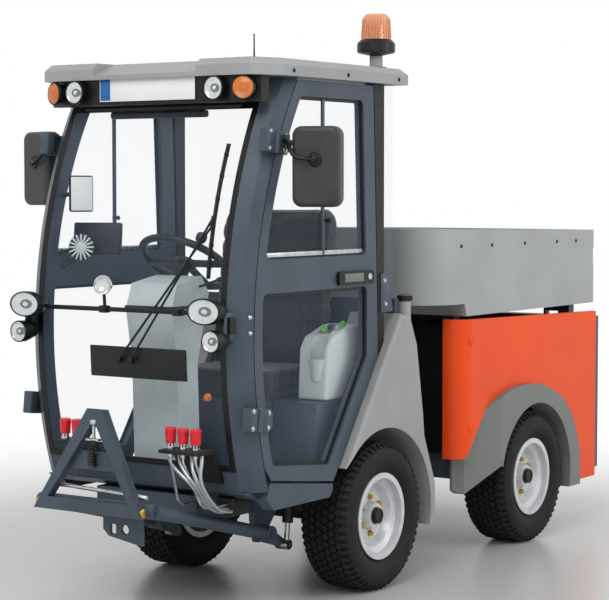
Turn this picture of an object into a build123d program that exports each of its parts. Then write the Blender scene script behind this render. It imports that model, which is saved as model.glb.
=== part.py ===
import os
from math import asin, atan2, cos, degrees, radians, sin, sqrt

from build123d import *

os.makedirs("parts", exist_ok=True)

# Stance. Millimetres; the nose points to -Y, +X is the vehicle's left, the ground is Z = 0
wheelbase = 1239.0
tail_overhang = 690.0  # rear axle to the rear bumper face
track = 854.0
pivot_back = 620.0  # front axle to the articulation pin

# Wheels
tyre_od = 570.0
tyre_width = 216.0
rim_od = 332.0
rim_width = 184.0
bead_radius = 150.0
bead_clearance = 0.2
stub_radius = 45.0
stub_fit = 0.05
hub_gap = 0.3
drum_radius = 92.0

# Front frame, axle beams and cab floor
rail_inset = 67.0  # middle of a lift arm to the middle of a frame rail
rail_width = 70.0
rail_bottom = 335.0
rail_top = 440.0
rail_nose = 790.0
axle_radius = 45.0
saddle_length = 120.0
floor_thickness = 30.0
floor_half = 455.0
floor_clearance = 21.0  # narrow part of the floor to the tyres
floor_neck = 35.0
floor_front = 800.0
floor_shoulder = 330.0
arm_relief = 62.0  # bevel under the floor's nose, over the raised lift arms

# Cab, with its front bowed on one large radius seen from the side
cab_bow = 1730.0
cab_bow_z = 1010.0
cab_front = 852.0  # front axle to the outer ridge of the corner posts
cab_half = 500.0
ridge_half = 473.0
glass_half = 430.0
glass_proud = 30.0  # glass ahead of the ridge
glass_thickness = 6.0
post_depth = 37.0  # ridge back to the door gap
cab_top = 1931.0
screen_bottom = 545.0
screen_top = 1838.0
beam_depth = 54.0
rear_wall_y = 124.0
rear_wall_thickness = 32.0
cab_rear = 160.0
ledge_z = 1055.0
ledge_height = 55.0

# Doors
door_thickness = 40.0
door_gap = 8.0
post_gap = 5.0
door_top = 1922.0
door_foot_z = 556.0
door_sill_front = (-708.0, 508.0)
door_sill_rear = (-310.0, 457.0)
door_knee = (0.0, 900.0)
door_rear_top = -37.0
belt_low = 1168.0
belt_high = 1288.0
stile = 48.0
rear_stile = 72.0
top_rail = 58.0
pane_thickness = 6.0
hinge_x = 516.0
hinge_low = (-806.0, 733.0)
hinge_high = (-700.0, 1700.0)
hinge_length = 56.0
hinge_radius = 13.0
hinge_pin = 7.0
hinge_fit = 0.05
hinge_end_gap = 0.5
window_round = 22.0
mirror_toe = 16.0

# Roof
roof_half = 529.0
roof_rear = 168.0
roof_front = 792.0
roof_nose_half = 470.0
roof_corner = 668.0
roof_height = 62.0
roof_edge = 24.0
roof_shell = 30.0
roof_pocket_half = 415.0
visor_half = 235.0
visor_depth = 120.0
visor_lip = 16.0

# Front wings
wing_inner = 300.0
wing_seam = 2.0  # floor to the wing's inner edge
wing_outer = 537.0
wing_arch = 340.0
wing_wall = 24.0
wing_edge = 14.0
wing_gap = 12.0

# Rear section
body_half = 515.0
body_wall = 24.0
body_front = 622.0  # front axle to the front of the orange panels
body_corner = 85.0
body_return = 425.0  # half width to the inner edge of the front return
panel_top_front = 1000.0
panel_top_rear = 972.0
panel_bottom = 212.0
arch_outer_half = 545.0
arch_inner = 322.0
arch_back = 430.0
tub_half = 500.0
tub_front = 430.0
tub_bottom = 1012.0
tub_top_front = 1374.0
tub_top_rear = 1345.0
tub_wall = 18.0
tub_corner = 190.0
tub_rear_corner = 45.0
tub_step = 52.0
tub_step_end = 690.0
tub_step_slope = 20.0
tub_hinge_inset = 31.0  # tub tail to its hinge line
tub_hinge_z = 985.0
tub_seat = 0.3
panel_inset = 36.0  # tub tail to the front face of the rear panel
rear_panel_thickness = 26.0
lamp_depth = 20.0

# Front lift and coupling triangle
lift_pivot = (-400.0, 250.0)
coupling_reach = 273.0  # corner ridge to the foremost edge of the coupling triangle
lift_pin = 15.0
lift_fit = 0.05
arm_radius = 25.0
frame_foot_inset = 20.0  # middle of a lift arm to the triangle's foot corner
frame_head_half = 34.0
frame_foot_z = 402.0
frame_height = 365.0
frame_lean = 8.0
frame_leg = 44.0
frame_thickness = 36.0
lever_end = (-292.0, 196.0)
ram_top = (-275.0, 400.0)
ram_clearance = 42.0  # middle of a ram to the tyre
ram_offset = 15.0  # ram outside the lift arm
ram_radius = 21.0
rod_radius = 10.0
ram_pin = 10.0

# Derived places
wheel_z = tyre_od / 2
tail = wheelbase + tail_overhang
nose_reach = cab_front + coupling_reach
tyre_inner = (track - tyre_width) / 2
ram_x = tyre_inner - ram_clearance
lift_x = ram_x - ram_offset
rail_x = lift_x - rail_inset
frame_foot_half = lift_x - frame_foot_inset
floor_waist = min(tyre_inner - floor_clearance, wing_inner - wing_seam)
tub_rear = tail - lamp_depth
tub_hinge_y = tub_rear - tub_hinge_inset
front_axle_y = (nose_reach - wheelbase - tail_overhang) / 2
floor_top = rail_top + floor_thickness
bow_y = cab_bow - cab_front  # centre of the bow, behind the front axle
glass_radius = cab_bow + glass_proud
post_radius = cab_bow - post_depth
door_edge_radius = post_radius - post_gap

# Drawing planes with their zero at the front axle: side (Y, Z), plan (X, Y) and elevation (X, Z)
side_plane = Plane(origin=(0, front_axle_y, 0), x_dir=(0, 1, 0), z_dir=(1, 0, 0))
plan_plane = Plane(origin=(0, front_axle_y, 0))
elevation = Plane(origin=(0, front_axle_y, 0), x_dir=(1, 0, 0), z_dir=(0, -1, 0))
bow_axis = Axis((0, front_axle_y + bow_y, cab_bow_z), (-1, 0, 0))
sides = ((1, "left"), (-1, "right"))


def bow_at(radius, z):
    """Y of a bowed edge at a height, from the front axle."""
    return bow_y - sqrt(radius**2 - (z - cab_bow_z) ** 2)


def bow_plane(angle):
    """Plane through the bow's axis: local X is the vehicle's X, local Y the bow radius."""
    turn = radians(angle)
    centre = (0, front_axle_y + bow_y, cab_bow_z)
    return Plane(origin=centre, x_dir=(1, 0, 0), z_dir=(0, -sin(turn), -cos(turn)))


def at(x, y, z):
    """A point given from the front axle."""
    return Vector(x, front_axle_y + y, z)


def rod(start, end, radius):
    """Round bar between two points."""
    run = end - start
    with BuildSketch(Plane(origin=start, z_dir=run)) as disc:
        Circle(radius)
    extrude(disc.sketch, amount=run.length)


def trim(low, high):
    """Cut the part under way level at two heights."""
    split(bisect_by=Plane.XY.offset(low), keep=Keep.TOP)
    split(bisect_by=Plane.XY.offset(high), keep=Keep.BOTTOM)


def write(piece, name):
    piece.part.label = name
    export_step(piece.part, f"parts/{name}.step")


# Four wheels: tyre and dished steel rim, revolved about the wheel's own axis
tyre_half = tyre_width / 2
rim_half = rim_width / 2
rim_radius = rim_od / 2
flange = 6.0
barrel_wall = 5.0
barrel_inner = bead_radius - barrel_wall
disc_x = 26.0
disc_thickness = 10.0
dish_depth = 30.0
dish_skin = 4.0
dish_rim = 122.0
dish_foot = 106.0
dish_land = 100.0
hub_land = 86.0
cap_root = 56.0
cap_radius = 48.0
cap_x = 64.0
bore_x = 54.0
bead_half = rim_half - flange - bead_clearance
tread_half = 84.0
shoulder_half = 99.0
shoulder_drop = 20.0
shoulder_radius = tyre_od / 2 - shoulder_drop
wall_radius = 218.0  # radius at which the tyre is widest
bead_rise = 4.0
bead_seat = bead_radius + bead_clearance
bead_top = rim_radius + bead_rise
wheel_table = (
    ("front_left", 1, 0.0),
    ("front_right", -1, 0.0),
    ("rear_left", 1, wheelbase),
    ("rear_right", -1, wheelbase),
)
for corner, side, axle_back in wheel_table:
    centre = at(side * track / 2, axle_back, wheel_z)
    section = Plane(origin=centre, x_dir=(side, 0, 0), z_dir=(0, -side, 0))
    spin = Axis(centre, (1, 0, 0))
    with BuildPart() as tyre:
        with BuildSketch(section):
            with BuildLine():
                Polyline((-bead_half, bead_top), (-bead_half, bead_seat), (bead_half, bead_seat),
                         (bead_half, bead_top))
                ThreePointArc((bead_half, bead_top), (tyre_half, wall_radius), (shoulder_half, shoulder_radius))
                Polyline((shoulder_half, shoulder_radius), (tread_half, tyre_od / 2),
                         (-tread_half, tyre_od / 2), (-shoulder_half, shoulder_radius))
                ThreePointArc((-shoulder_half, shoulder_radius), (-tyre_half, wall_radius),
                              (-bead_half, bead_top))
            make_face()
        revolve(axis=spin)
    write(tyre, f"tyre_{corner}")
    with BuildPart() as rim:
        with BuildSketch(section):
            with BuildLine():
                Polyline((-rim_half, barrel_inner), (-rim_half, rim_radius), (flange - rim_half, rim_radius),
                         (flange - rim_half, bead_radius), (rim_half - flange, bead_radius),
                         (rim_half - flange, rim_radius), (rim_half, rim_radius), (rim_half, barrel_inner),
                         (disc_x + dish_depth + disc_thickness, barrel_inner), (disc_x + dish_depth, dish_rim),
                         (disc_x, dish_foot), (disc_x, dish_land), (disc_x + disc_thickness, hub_land),
                         (disc_x + disc_thickness, cap_root), (cap_x, cap_radius), (cap_x, 0), (bore_x, 0),
                         (bore_x, stub_radius + stub_fit), (disc_x, stub_radius + stub_fit),
                         (disc_x, hub_land - dish_skin), (disc_x - disc_thickness, dish_land - dish_skin),
                         (disc_x - disc_thickness, dish_foot + dish_skin),
                         (disc_x + dish_depth - disc_thickness, dish_rim + dish_skin),
                         (disc_x + dish_depth, barrel_inner), close=True)
            make_face()
        revolve(axis=spin)
    write(rim, f"rim_{corner}")

# Axle beams: tube, hub drums and stubs in one turned outline, with saddles up to the rails
drum_inset = 112.0
drum_set = 11.0
hub_flange = 78.0
for name, axle_back in (("front_axle", 0.0), ("rear_axle", wheelbase)):
    middle = at(0, axle_back, wheel_z)
    drum_in = track / 2 - drum_inset
    drum_out = track / 2 + disc_x - drum_set
    flange_out = track / 2 + disc_x - hub_gap
    stub_out = track / 2 + bore_x - hub_gap
    with BuildPart() as axle:
        with BuildSketch(Plane(origin=middle, x_dir=(1, 0, 0), z_dir=(0, -1, 0))):
            with BuildLine():
                Polyline((0, 0), (0, axle_radius), (drum_in, axle_radius), (drum_in, drum_radius),
                         (drum_out, drum_radius), (drum_out, hub_flange), (flange_out, hub_flange),
                         (flange_out, stub_radius), (stub_out, stub_radius), (stub_out, 0), close=True)
            make_face()
            mirror(about=Plane.YZ)
        revolve(axis=Axis(middle, (1, 0, 0)))
        with BuildSketch(Plane.XY.offset(wheel_z)):
            with Locations((rail_x, middle.Y), (-rail_x, middle.Y)):
                Rectangle(rail_width, saddle_length)
        extrude(amount=rail_bottom - wheel_z)
    write(axle, name)

# Front frame: two rails, cross members, lift brackets with their pins, and the articulation yoke
yoke_half = 62.0
yoke_plate = 24.0
pin_radius = 25.0
pin_fit = 0.05
lug_gap = 4.0
rail_tail = 400.0
yoke_root = 330.0
bracket_plate = 24.0
member_width = 80.0
bracket_inset = 26.0
bracket_head = 60.0
bracket_waist = 36.0
bracket_foot = 20.0
bracket_drop = 32.0
ram_land = 26.0
ram_shoulder = 40.0
pin_reach = 31.0  # pins beyond the middle of a lift arm
lift_bracket_x = lift_x - bracket_inset
with BuildPart() as front_frame:
    with BuildSketch(plan_plane.offset(rail_bottom)):
        with Locations((rail_x, (rail_tail - rail_nose) / 2), (-rail_x, (rail_tail - rail_nose) / 2)):
            Rectangle(rail_width, rail_tail + rail_nose)
        for cross_y in (member_width / 2 - rail_nose, rail_tail - member_width / 2):
            with Locations((0, cross_y)):
                Rectangle(2 * rail_x, member_width)
    extrude(amount=rail_top - rail_bottom)
    for plate_z in (rail_bottom - yoke_plate, rail_top - yoke_plate):
        with BuildSketch(plan_plane.offset(plate_z)):
            with BuildLine():
                Line((-rail_x, yoke_root), (rail_x, yoke_root))
                Line((rail_x, yoke_root), (yoke_half, pivot_back))
                ThreePointArc((yoke_half, pivot_back), (0, pivot_back + yoke_half), (-yoke_half, pivot_back))
                Line((-yoke_half, pivot_back), (-rail_x, yoke_root))
            make_face()
        extrude(amount=yoke_plate)
    with BuildSketch(plan_plane.offset(rail_bottom - yoke_plate)):
        with Locations((0, pivot_back)):
            Circle(pin_radius)
    extrude(amount=rail_top - rail_bottom + yoke_plate)
    for side, _ in sides:
        with BuildSketch(side_plane.offset(side * (lift_bracket_x - bracket_plate))):
            with BuildLine():
                pivot_y, pivot_z = lift_pivot
                Polyline((pivot_y - bracket_head, rail_top), (pivot_y - bracket_waist, pivot_z),
                         (pivot_y - bracket_foot, pivot_z - bracket_drop),
                         (pivot_y + bracket_foot, pivot_z - bracket_drop), (pivot_y + bracket_waist, pivot_z),
                         (ram_top[0] + ram_land, rail_bottom + ram_shoulder),
                         (ram_top[0] + ram_land, rail_top), close=True)
            make_face()
        extrude(amount=side * bracket_plate)
        for (pin_y, pin_z), pin_r in ((lift_pivot, lift_pin), (ram_top, ram_pin)):
            with BuildSketch(side_plane.offset(side * lift_bracket_x)):
                with Locations((pin_y, pin_z)):
                    Circle(pin_r)
            extrude(amount=side * (bracket_inset + pin_reach))
write(front_frame, "front_frame")

# Cab floor with its sills
floor_lip = 4.0
sill_inset = 8.0
sill_outset = 6.0
sill_gap = 9.0
sill_toe = 12.0
sill_low = 400.0
sill_tail = (20.0, 425.0)
sill_nose = (68.0, 110.0)
with BuildPart() as cab_floor:
    with BuildSketch(plan_plane.offset(rail_top)):
        with BuildLine():
            neck_y = floor_neck - floor_shoulder
            Polyline((floor_half, -floor_front), (floor_half, -floor_shoulder), (floor_waist, neck_y),
                     (floor_waist, rear_wall_y), (-floor_waist, rear_wall_y), (-floor_waist, neck_y),
                     (-floor_half, -floor_shoulder), (-floor_half, -floor_front), close=True)
        make_face()
    extrude(amount=floor_thickness)
    with BuildSketch(side_plane.offset(-floor_half)):
        with BuildLine():
            Polyline((-floor_front, rail_top), (arm_relief - floor_front, rail_top),
                     (-floor_front, floor_top - floor_lip), close=True)
        make_face()
    extrude(amount=2 * floor_half, mode=Mode.SUBTRACT)
    for side, _ in sides:
        with BuildSketch(side_plane.offset(side * (floor_half - sill_inset))):
            with BuildLine():
                Polyline((sill_nose[0] - floor_front, rail_top),
                         (door_sill_front[0] - sill_toe, door_sill_front[1] - door_gap - sill_toe),
                         (door_sill_front[0], door_sill_front[1] - sill_gap),
                         (door_sill_rear[0], door_sill_rear[1] - sill_gap),
                         (sill_tail[0] - floor_shoulder, sill_tail[1]), (-floor_shoulder, sill_low),
                         (sill_nose[1] - floor_front, sill_low), close=True)
            make_face()
        extrude(amount=side * (cab_half - floor_half + sill_outset))
write(cab_floor, "cab_floor")

# Bowed corner posts, each a bent section swept round the bow, with the door hinge pins
post_thickness = 40.0
post_web = 10.0
pin_tail = 12.0  # hinge pin beyond each end of the knuckle
lug_reach = 14.0
lug_drop = 26.0
lug_size = (30.0, 60.0)
bow_low = -20.0
bow_sweep = 55.0
hinge_run = Vector(0, hinge_high[0] - hinge_low[0], hinge_high[1] - hinge_low[1])
hinge_points = (hinge_low, hinge_high)
with BuildPart() as corner_posts:
    for side, _ in sides:
        with BuildSketch(bow_plane(bow_low)):
            with BuildLine():
                Polyline((side * glass_half, glass_radius), (side * ridge_half, cab_bow),
                         (side * cab_half, post_radius), (side * (cab_half - post_thickness), post_radius),
                         (side * glass_half, cab_bow - post_web), close=True)
            make_face()
        revolve(axis=bow_axis, revolution_arc=bow_sweep)
    trim(floor_top, cab_top)
    for side, _ in sides:
        for hinge_y, hinge_z in hinge_points:
            knuckle = Plane(origin=at(side * hinge_x, hinge_y, hinge_z), x_dir=(1, 0, 0), z_dir=hinge_run)
            with BuildSketch(knuckle.offset(-hinge_length / 2 - pin_tail)):
                Circle(hinge_pin)
            extrude(amount=hinge_length + 2 * pin_tail)
            for end in (-hinge_length / 2 - hinge_end_gap - pin_tail, hinge_length / 2 + hinge_end_gap):
                with BuildSketch(knuckle.offset(end)):
                    Circle(hinge_radius)
                    with Locations((-side * lug_reach, -lug_drop)):
                        Rectangle(*lug_size)
                extrude(amount=pin_tail)
write(corner_posts, "cab_corner_posts")

# Cross beams of the cab front, below and above the windscreen
with BuildPart() as cross_beams:
    with BuildSketch(bow_plane(bow_low)):
        with Locations((0, glass_radius - beam_depth / 2)):
            Rectangle(2 * glass_half, beam_depth)
    revolve(axis=bow_axis, revolution_arc=bow_sweep)
    trim(floor_top, cab_top)
    with BuildSketch(plan_plane.offset(screen_bottom)):
        with Locations((0, -cab_front)):
            Rectangle(2 * cab_half, 2 * cab_half)
    extrude(amount=screen_top - screen_bottom, mode=Mode.SUBTRACT)
write(cross_beams, "cab_cross_beams")

# Windscreen
with BuildPart() as windscreen:
    with BuildSketch(bow_plane(bow_low)):
        with Locations((0, glass_radius - glass_thickness / 2)):
            Rectangle(2 * glass_half, glass_thickness)
    revolve(axis=bow_axis, revolution_arc=bow_sweep)
    trim(screen_bottom, screen_top)
write(windscreen, "windscreen")

# Rear wall of the cab, with the ledge over the wings, and the two rear posts
wall_half = cab_half - 2
rear_post_width = 42.0
with BuildPart() as rear_wall:
    with BuildSketch(elevation.offset(-rear_wall_y - rear_wall_thickness)):
        with BuildLine():
            Polyline((-floor_waist, rail_top), (floor_waist, rail_top), (floor_waist, ledge_z),
                     (wall_half, ledge_z), (wall_half, ledge_z + ledge_height),
                     (-wall_half, ledge_z + ledge_height), (-wall_half, ledge_z), (-floor_waist, ledge_z),
                     close=True)
        make_face()
    extrude(amount=rear_wall_thickness)
write(rear_wall, "cab_rear_wall")

slant_y = door_knee[0] - door_sill_rear[0]
slant_z = door_knee[1] - door_sill_rear[1]
slant_length = sqrt(slant_y**2 + slant_z**2)
wing_shift = wing_gap * slant_length / slant_z
wing_knee = (door_knee[0] + wing_shift, door_knee[1] + door_gap)
wing_crown = (118.0, ledge_z)
post_rear = 44.0


def wing_front_z(y):
    """Height of the wing's upper front edge at a distance behind the axle."""
    rise = (wing_crown[1] - wing_knee[1]) / (wing_crown[0] - wing_knee[0])
    return wing_knee[1] + rise * (y - wing_knee[0])


with BuildPart() as rear_posts:
    for side, _ in sides:
        with BuildSketch(side_plane.offset(side * (wall_half - rear_post_width))):
            with BuildLine():
                post_front = door_knee[0] + door_gap
                Polyline((post_front, wing_front_z(post_front)), (post_rear, wing_front_z(post_rear)),
                         (post_rear, cab_top), (door_rear_top + door_gap, cab_top), close=True)
            make_face()
        extrude(amount=side * rear_post_width)
write(rear_posts, "cab_rear_posts")

# Rear window, one sheet bent round both corners
window_corner = 60.0
with BuildPart() as rear_window:
    with BuildSketch(plan_plane.offset(ledge_z + ledge_height)):
        with BuildLine():
            FilletPolyline((wall_half, post_rear), (wall_half, cab_rear), (-wall_half, cab_rear),
                           (-wall_half, post_rear), radius=window_corner)
            offset(amount=glass_thickness, side=Side.LEFT)
        make_face()
    extrude(amount=cab_top - ledge_z - ledge_height)
write(rear_window, "rear_window")

# Roof cap and the lamp panel under its visor
header_front = 770.0
header_rear = 690.0
header_half = 478.0
header_flat = 370.0
header_turn = 35.0  # how far the ends of the lamp panel fall back
pocket_length = 600.0
pocket_middle = 320.0
pocket_round = 60.0
with BuildPart() as roof:
    with BuildSketch(plan_plane.offset(cab_top)):
        with BuildLine():
            Polyline((-roof_half, roof_rear), (roof_half, roof_rear), (roof_half, -roof_corner),
                     (roof_nose_half, -roof_front), (-roof_nose_half, -roof_front),
                     (-roof_half, -roof_corner), close=True)
        make_face()
    extrude(amount=roof_height)
    chamfer(roof.faces().sort_by(Axis.Z)[-1].edges(), roof_edge)
    with BuildSketch(side_plane.offset(-visor_half)):
        with BuildLine():
            Polyline((-roof_front, cab_top + visor_lip), (visor_depth - roof_front, cab_top + roof_height),
                     (-roof_front, cab_top + roof_height), close=True)
        make_face()
    extrude(amount=2 * visor_half, mode=Mode.SUBTRACT)
    with BuildSketch(plan_plane.offset(cab_top)):
        with Locations((0, -pocket_middle)):
            RectangleRounded(2 * roof_pocket_half, pocket_length, pocket_round)
    extrude(amount=roof_height - roof_shell, mode=Mode.SUBTRACT)
write(roof, "roof")

with BuildPart() as header:
    with BuildSketch(plan_plane.offset(screen_top)):
        with BuildLine():
            Polyline((-header_half, -header_rear), (-header_half, header_turn - header_front),
                     (-header_flat, -header_front), (header_flat, -header_front),
                     (header_half, header_turn - header_front), (header_half, -header_rear), close=True)
        make_face()
    extrude(amount=cab_top - screen_top)
write(header, "lamp_panel")

lamp_z = 1887.0
work_lamp_x = 318.0
work_lamp_radius = 31.0
indicator_radius = 34.0
lamp_stand = 22.0
turn_angle = atan2(header_turn, header_half - header_flat)
with BuildPart() as roof_lamps:
    for side, _ in sides:
        with BuildSketch(elevation.offset(header_front)):
            with Locations((side * work_lamp_x, lamp_z)):
                Circle(work_lamp_radius)
        extrude(amount=lamp_stand)
        middle = at(side * (header_flat + header_half) / 2, header_turn / 2 - header_front, lamp_z)
        along = (cos(turn_angle), side * sin(turn_angle), 0)
        facing = (side * sin(turn_angle), -cos(turn_angle), 0)
        with BuildSketch(Plane(origin=middle, x_dir=along, z_dir=facing)):
            Circle(indicator_radius)
        extrude(amount=lamp_stand)
write(roof_lamps, "roof_lamps")

# Doors: bowed front edge, two windows, hinge straps and a pull handle
window_radius = door_edge_radius - stile
window_top = door_top - top_rail
sill_rail = 66.0
window_foot = door_sill_rear[1] + sill_rail
window_slant = 14.0
window_knee = (-78.0, 905.0)
window_heel = -340.0
lower_rear = 80.0
window_rise = 36.0  # fall of the lower window's foot towards the rear
pane_bend = (1580.0, 880.0)  # heights at which the bowed window edges are drawn
with BuildSketch() as door_windows:
    with BuildLine():
        low = (bow_at(window_radius, belt_high), belt_high)
        high = (bow_at(window_radius, window_top), window_top)
        ThreePointArc(low, (bow_at(window_radius, pane_bend[0]), pane_bend[0]), high)
        Polyline(high, (door_rear_top - rear_stile, window_top), (-rear_stile - window_slant, belt_high), low)
    make_face()
    with BuildLine():
        low = (bow_at(window_radius, window_foot + window_rise), window_foot + window_rise)
        high = (bow_at(window_radius, belt_low), belt_low)
        ThreePointArc(low, (bow_at(window_radius, pane_bend[1]), pane_bend[1]), high)
        Polyline(high, (-lower_rear, belt_low), window_knee, (window_heel, window_foot), low)
    make_face()
    fillet(door_windows.vertices(), window_round)
strap_thickness = 10.0
strap_length = 92.0
handle_at = (-170.0, 1204.0)
handle_size = (240.0, 50.0)
handle_round = 12.0
handle_stand = 14.0
mirror_base = (-640.0, 1700.0)
mirror_foot = (34.0, 50.0)
mirror_pad = 12.0
mirror_arm_radius = 10.0
mirror_elbow = (52.0, -640.0, 1690.0)  # out from the hinge strap, then Y and Z
mirror_ball = (628.0, -632.0, 1636.0)
mirror_middle = (640.0, -628.0, 1612.0)
mirror_size = (176.0, 282.0)
mirror_round = 34.0
mirror_depth = 56.0
mirror_edge = 20.0
for side, hand in sides:
    door_in = side * (cab_half - door_thickness)
    with BuildPart() as door:
        with BuildSketch(side_plane.offset(door_in)):
            with BuildLine():
                foot = (bow_at(door_edge_radius, door_foot_z), door_foot_z)
                crown = (bow_at(door_edge_radius, door_top), door_top)
                ThreePointArc(foot, (bow_at(door_edge_radius, belt_high), belt_high), crown)
                Polyline(crown, (door_rear_top, door_top), door_knee, door_sill_rear, door_sill_front, foot)
            make_face()
            add(door_windows.sketch_local, mode=Mode.SUBTRACT)
        extrude(amount=side * door_thickness)
        for hinge_y, hinge_z in hinge_points:
            knuckle = Plane(origin=at(side * hinge_x, hinge_y, hinge_z), x_dir=(1, 0, 0), z_dir=hinge_run)
            with BuildSketch(knuckle.offset(-hinge_length / 2)):
                Circle(hinge_radius)
                with Locations((-side * (hinge_x - cab_half - strap_thickness / 2), strap_length / 2)):
                    Rectangle(strap_thickness, strap_length)
                Circle(hinge_pin + hinge_fit, mode=Mode.SUBTRACT)
            extrude(amount=hinge_length)
    write(door, f"door_{hand}")
    with BuildPart() as panes:
        with BuildSketch(side_plane.offset(side * (cab_half - door_thickness / 2))):
            add(door_windows.sketch_local)
        extrude(amount=side * pane_thickness)
    write(panes, f"door_glass_{hand}")
    with BuildPart() as handle:
        with BuildSketch(side_plane.offset(side * cab_half)):
            with Locations(handle_at):
                RectangleRounded(*handle_size, handle_round)
        extrude(amount=side * handle_stand)
    write(handle, f"door_handle_{hand}")
    with BuildPart() as mirror_arm:
        strap_face = cab_half + strap_thickness
        base = at(side * (strap_face + mirror_pad / 2), *mirror_base)
        elbow = at(side * (strap_face + mirror_elbow[0]), mirror_elbow[1], mirror_elbow[2])
        ball = at(side * mirror_ball[0], mirror_ball[1], mirror_ball[2])
        with BuildSketch(side_plane.offset(side * strap_face)):
            with Locations(mirror_base):
                Rectangle(*mirror_foot)
        extrude(amount=side * mirror_pad)
        rod(base, elbow, mirror_arm_radius)
        rod(elbow, ball, mirror_arm_radius)
        with Locations(elbow, ball):
            Sphere(mirror_arm_radius)
        toe = radians(mirror_toe)
        middle = at(side * mirror_middle[0], mirror_middle[1], mirror_middle[2])
        back = Plane(origin=middle, x_dir=(cos(toe), side * sin(toe), 0), z_dir=(side * sin(toe), -cos(toe), 0))
        with BuildSketch(back.offset(-mirror_depth / 2)):
            RectangleRounded(*mirror_size, mirror_round)
        extrude(amount=mirror_depth)
        fillet(mirror_arm.faces().sort_by(Axis(back.origin, back.z_dir))[-1].edges(), mirror_edge)
    write(mirror_arm, f"mirror_{hand}")

# Front wings: moulded shells over the wheels, open at the arch, with the filler neck on the left one
wing_foot_z = 500.0
wing_foot_y = door_sill_rear[0] + wing_shift + (wing_foot_z - door_sill_rear[1]) * slant_y / slant_z
neck_x = 505.0
neck_y = 187.0
neck_root = 75.0
neck_radius = 24.0
neck_top = 1101.0
cap_height = 24.0
cap_lip = 4.0
wing_low = 207.0
wing_tail = ((186.0, 1039.0), (236.0, 931.0), (286.0, 653.0), (300.0, 534.0), (371.0, 369.0), (371.0, 236.0))
wing_heel = 346.0
with BuildPart() as wings:
    for side, _ in sides:
        with BuildSketch(side_plane.offset(side * wing_inner)) as wing_face:
            with BuildLine():
                Polyline((wing_foot_y, wing_foot_z), wing_knee, wing_crown, *wing_tail, (wing_heel, wing_low),
                         (0, wing_low), close=True)
            make_face()
            with Locations((0, wheel_z)):
                Circle(wing_arch, mode=Mode.SUBTRACT)
        extrude(amount=side * (wing_outer - wing_inner))
    for outer in (wings.faces().sort_by(Axis.X)[0], wings.faces().sort_by(Axis.X)[-1]):
        straight = outer.edges().filter_by(GeomType.LINE)
        fillet(straight.filter_by_position(Axis.Z, wing_foot_z, ledge_z), wing_edge)
    for side, _ in sides:
        with BuildSketch(side_plane.offset(side * wing_inner)):
            offset(wing_face.sketch_local, amount=-wing_wall, kind=Kind.INTERSECTION)
        extrude(amount=side * (wing_outer - wing_wall - wing_inner), mode=Mode.SUBTRACT)
    with BuildSketch(plan_plane.offset(ledge_z - neck_root)):
        with Locations((neck_x, neck_y)):
            Circle(neck_radius)
    extrude(amount=neck_top - ledge_z + neck_root)
    with BuildSketch(plan_plane.offset(neck_top)):
        with Locations((neck_x, neck_y)):
            Circle(neck_radius + cap_lip)
    extrude(amount=cap_height)
write(wings, "front_wings")

# Driver's seat on its box, the side console and the steering pedestal
seat_half = 220.0
back_half = 285.0
box_top = 740.0
box_toe = (-330.0, -360.0)  # front of the seat box at its foot and at its top
cushion_middle = -165.0
cushion_size = (500.0, 440.0)
cushion_round = 60.0
cushion_height = 110.0
cushion_top = box_top + cushion_height
back_foot = (-60.0, 34.0)
back_rear = (112.0, 1440.0)
back_crown = (95.0, 1470.0)
back_front = (42.0, 1460.0)
with BuildPart() as seat_box:
    with BuildSketch(side_plane.offset(-seat_half)):
        with BuildLine():
            Polyline((box_toe[0], floor_top), (rear_wall_y, floor_top), (rear_wall_y, box_top),
                     (box_toe[1], box_top), close=True)
        make_face()
    extrude(amount=2 * seat_half)
write(seat_box, "seat_box")

with BuildPart() as seat_cushion:
    with BuildSketch(plan_plane.offset(box_top)):
        with Locations((0, cushion_middle)):
            RectangleRounded(*cushion_size, cushion_round)
    extrude(amount=cushion_height)
write(seat_cushion, "seat_cushion")

with BuildPart() as seat_back:
    with BuildSketch(side_plane.offset(-back_half)):
        with BuildLine():
            Polyline((back_foot[0], cushion_top), (back_foot[1], cushion_top), back_rear, back_crown,
                     back_front, close=True)
        make_face()
    extrude(amount=2 * back_half)
write(seat_back, "seat_back")

console_x = 312.0
console_width = 110.0
console_foot = 5.0
console_rear = ((-118.0, 740.0), (-10.0, 890.0), (-2.0, 1020.0))
console_front = ((-225.0, 975.0), (-330.0, 855.0))
with BuildPart() as console:
    with BuildSketch(side_plane.offset(console_x)):
        with BuildLine():
            Polyline(*console_rear, *console_front, (-floor_shoulder - console_foot, floor_top),
                     (-floor_shoulder, floor_top), close=True)
        make_face()
    extrude(amount=console_width)
write(console, "side_console")

pedestal_half = 105.0
pedestal_foot = (-722.0, -600.0)
pedestal_rear = ((-615.0, 900.0), (-545.0, 1150.0))
pedestal_head = ((-590.0, 1215.0), (-735.0, 1190.0))
pedestal_front = ((-770.0, 1100.0), (-735.0, 900.0))
with BuildPart() as pedestal:
    with BuildSketch(side_plane.offset(-pedestal_half)):
        with BuildLine():
            Polyline((pedestal_foot[0], floor_top), (pedestal_foot[1], floor_top), *pedestal_rear,
                     *pedestal_head, *pedestal_front, close=True)
        make_face()
    extrude(amount=2 * pedestal_half)
write(pedestal, "steering_pedestal")

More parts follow.
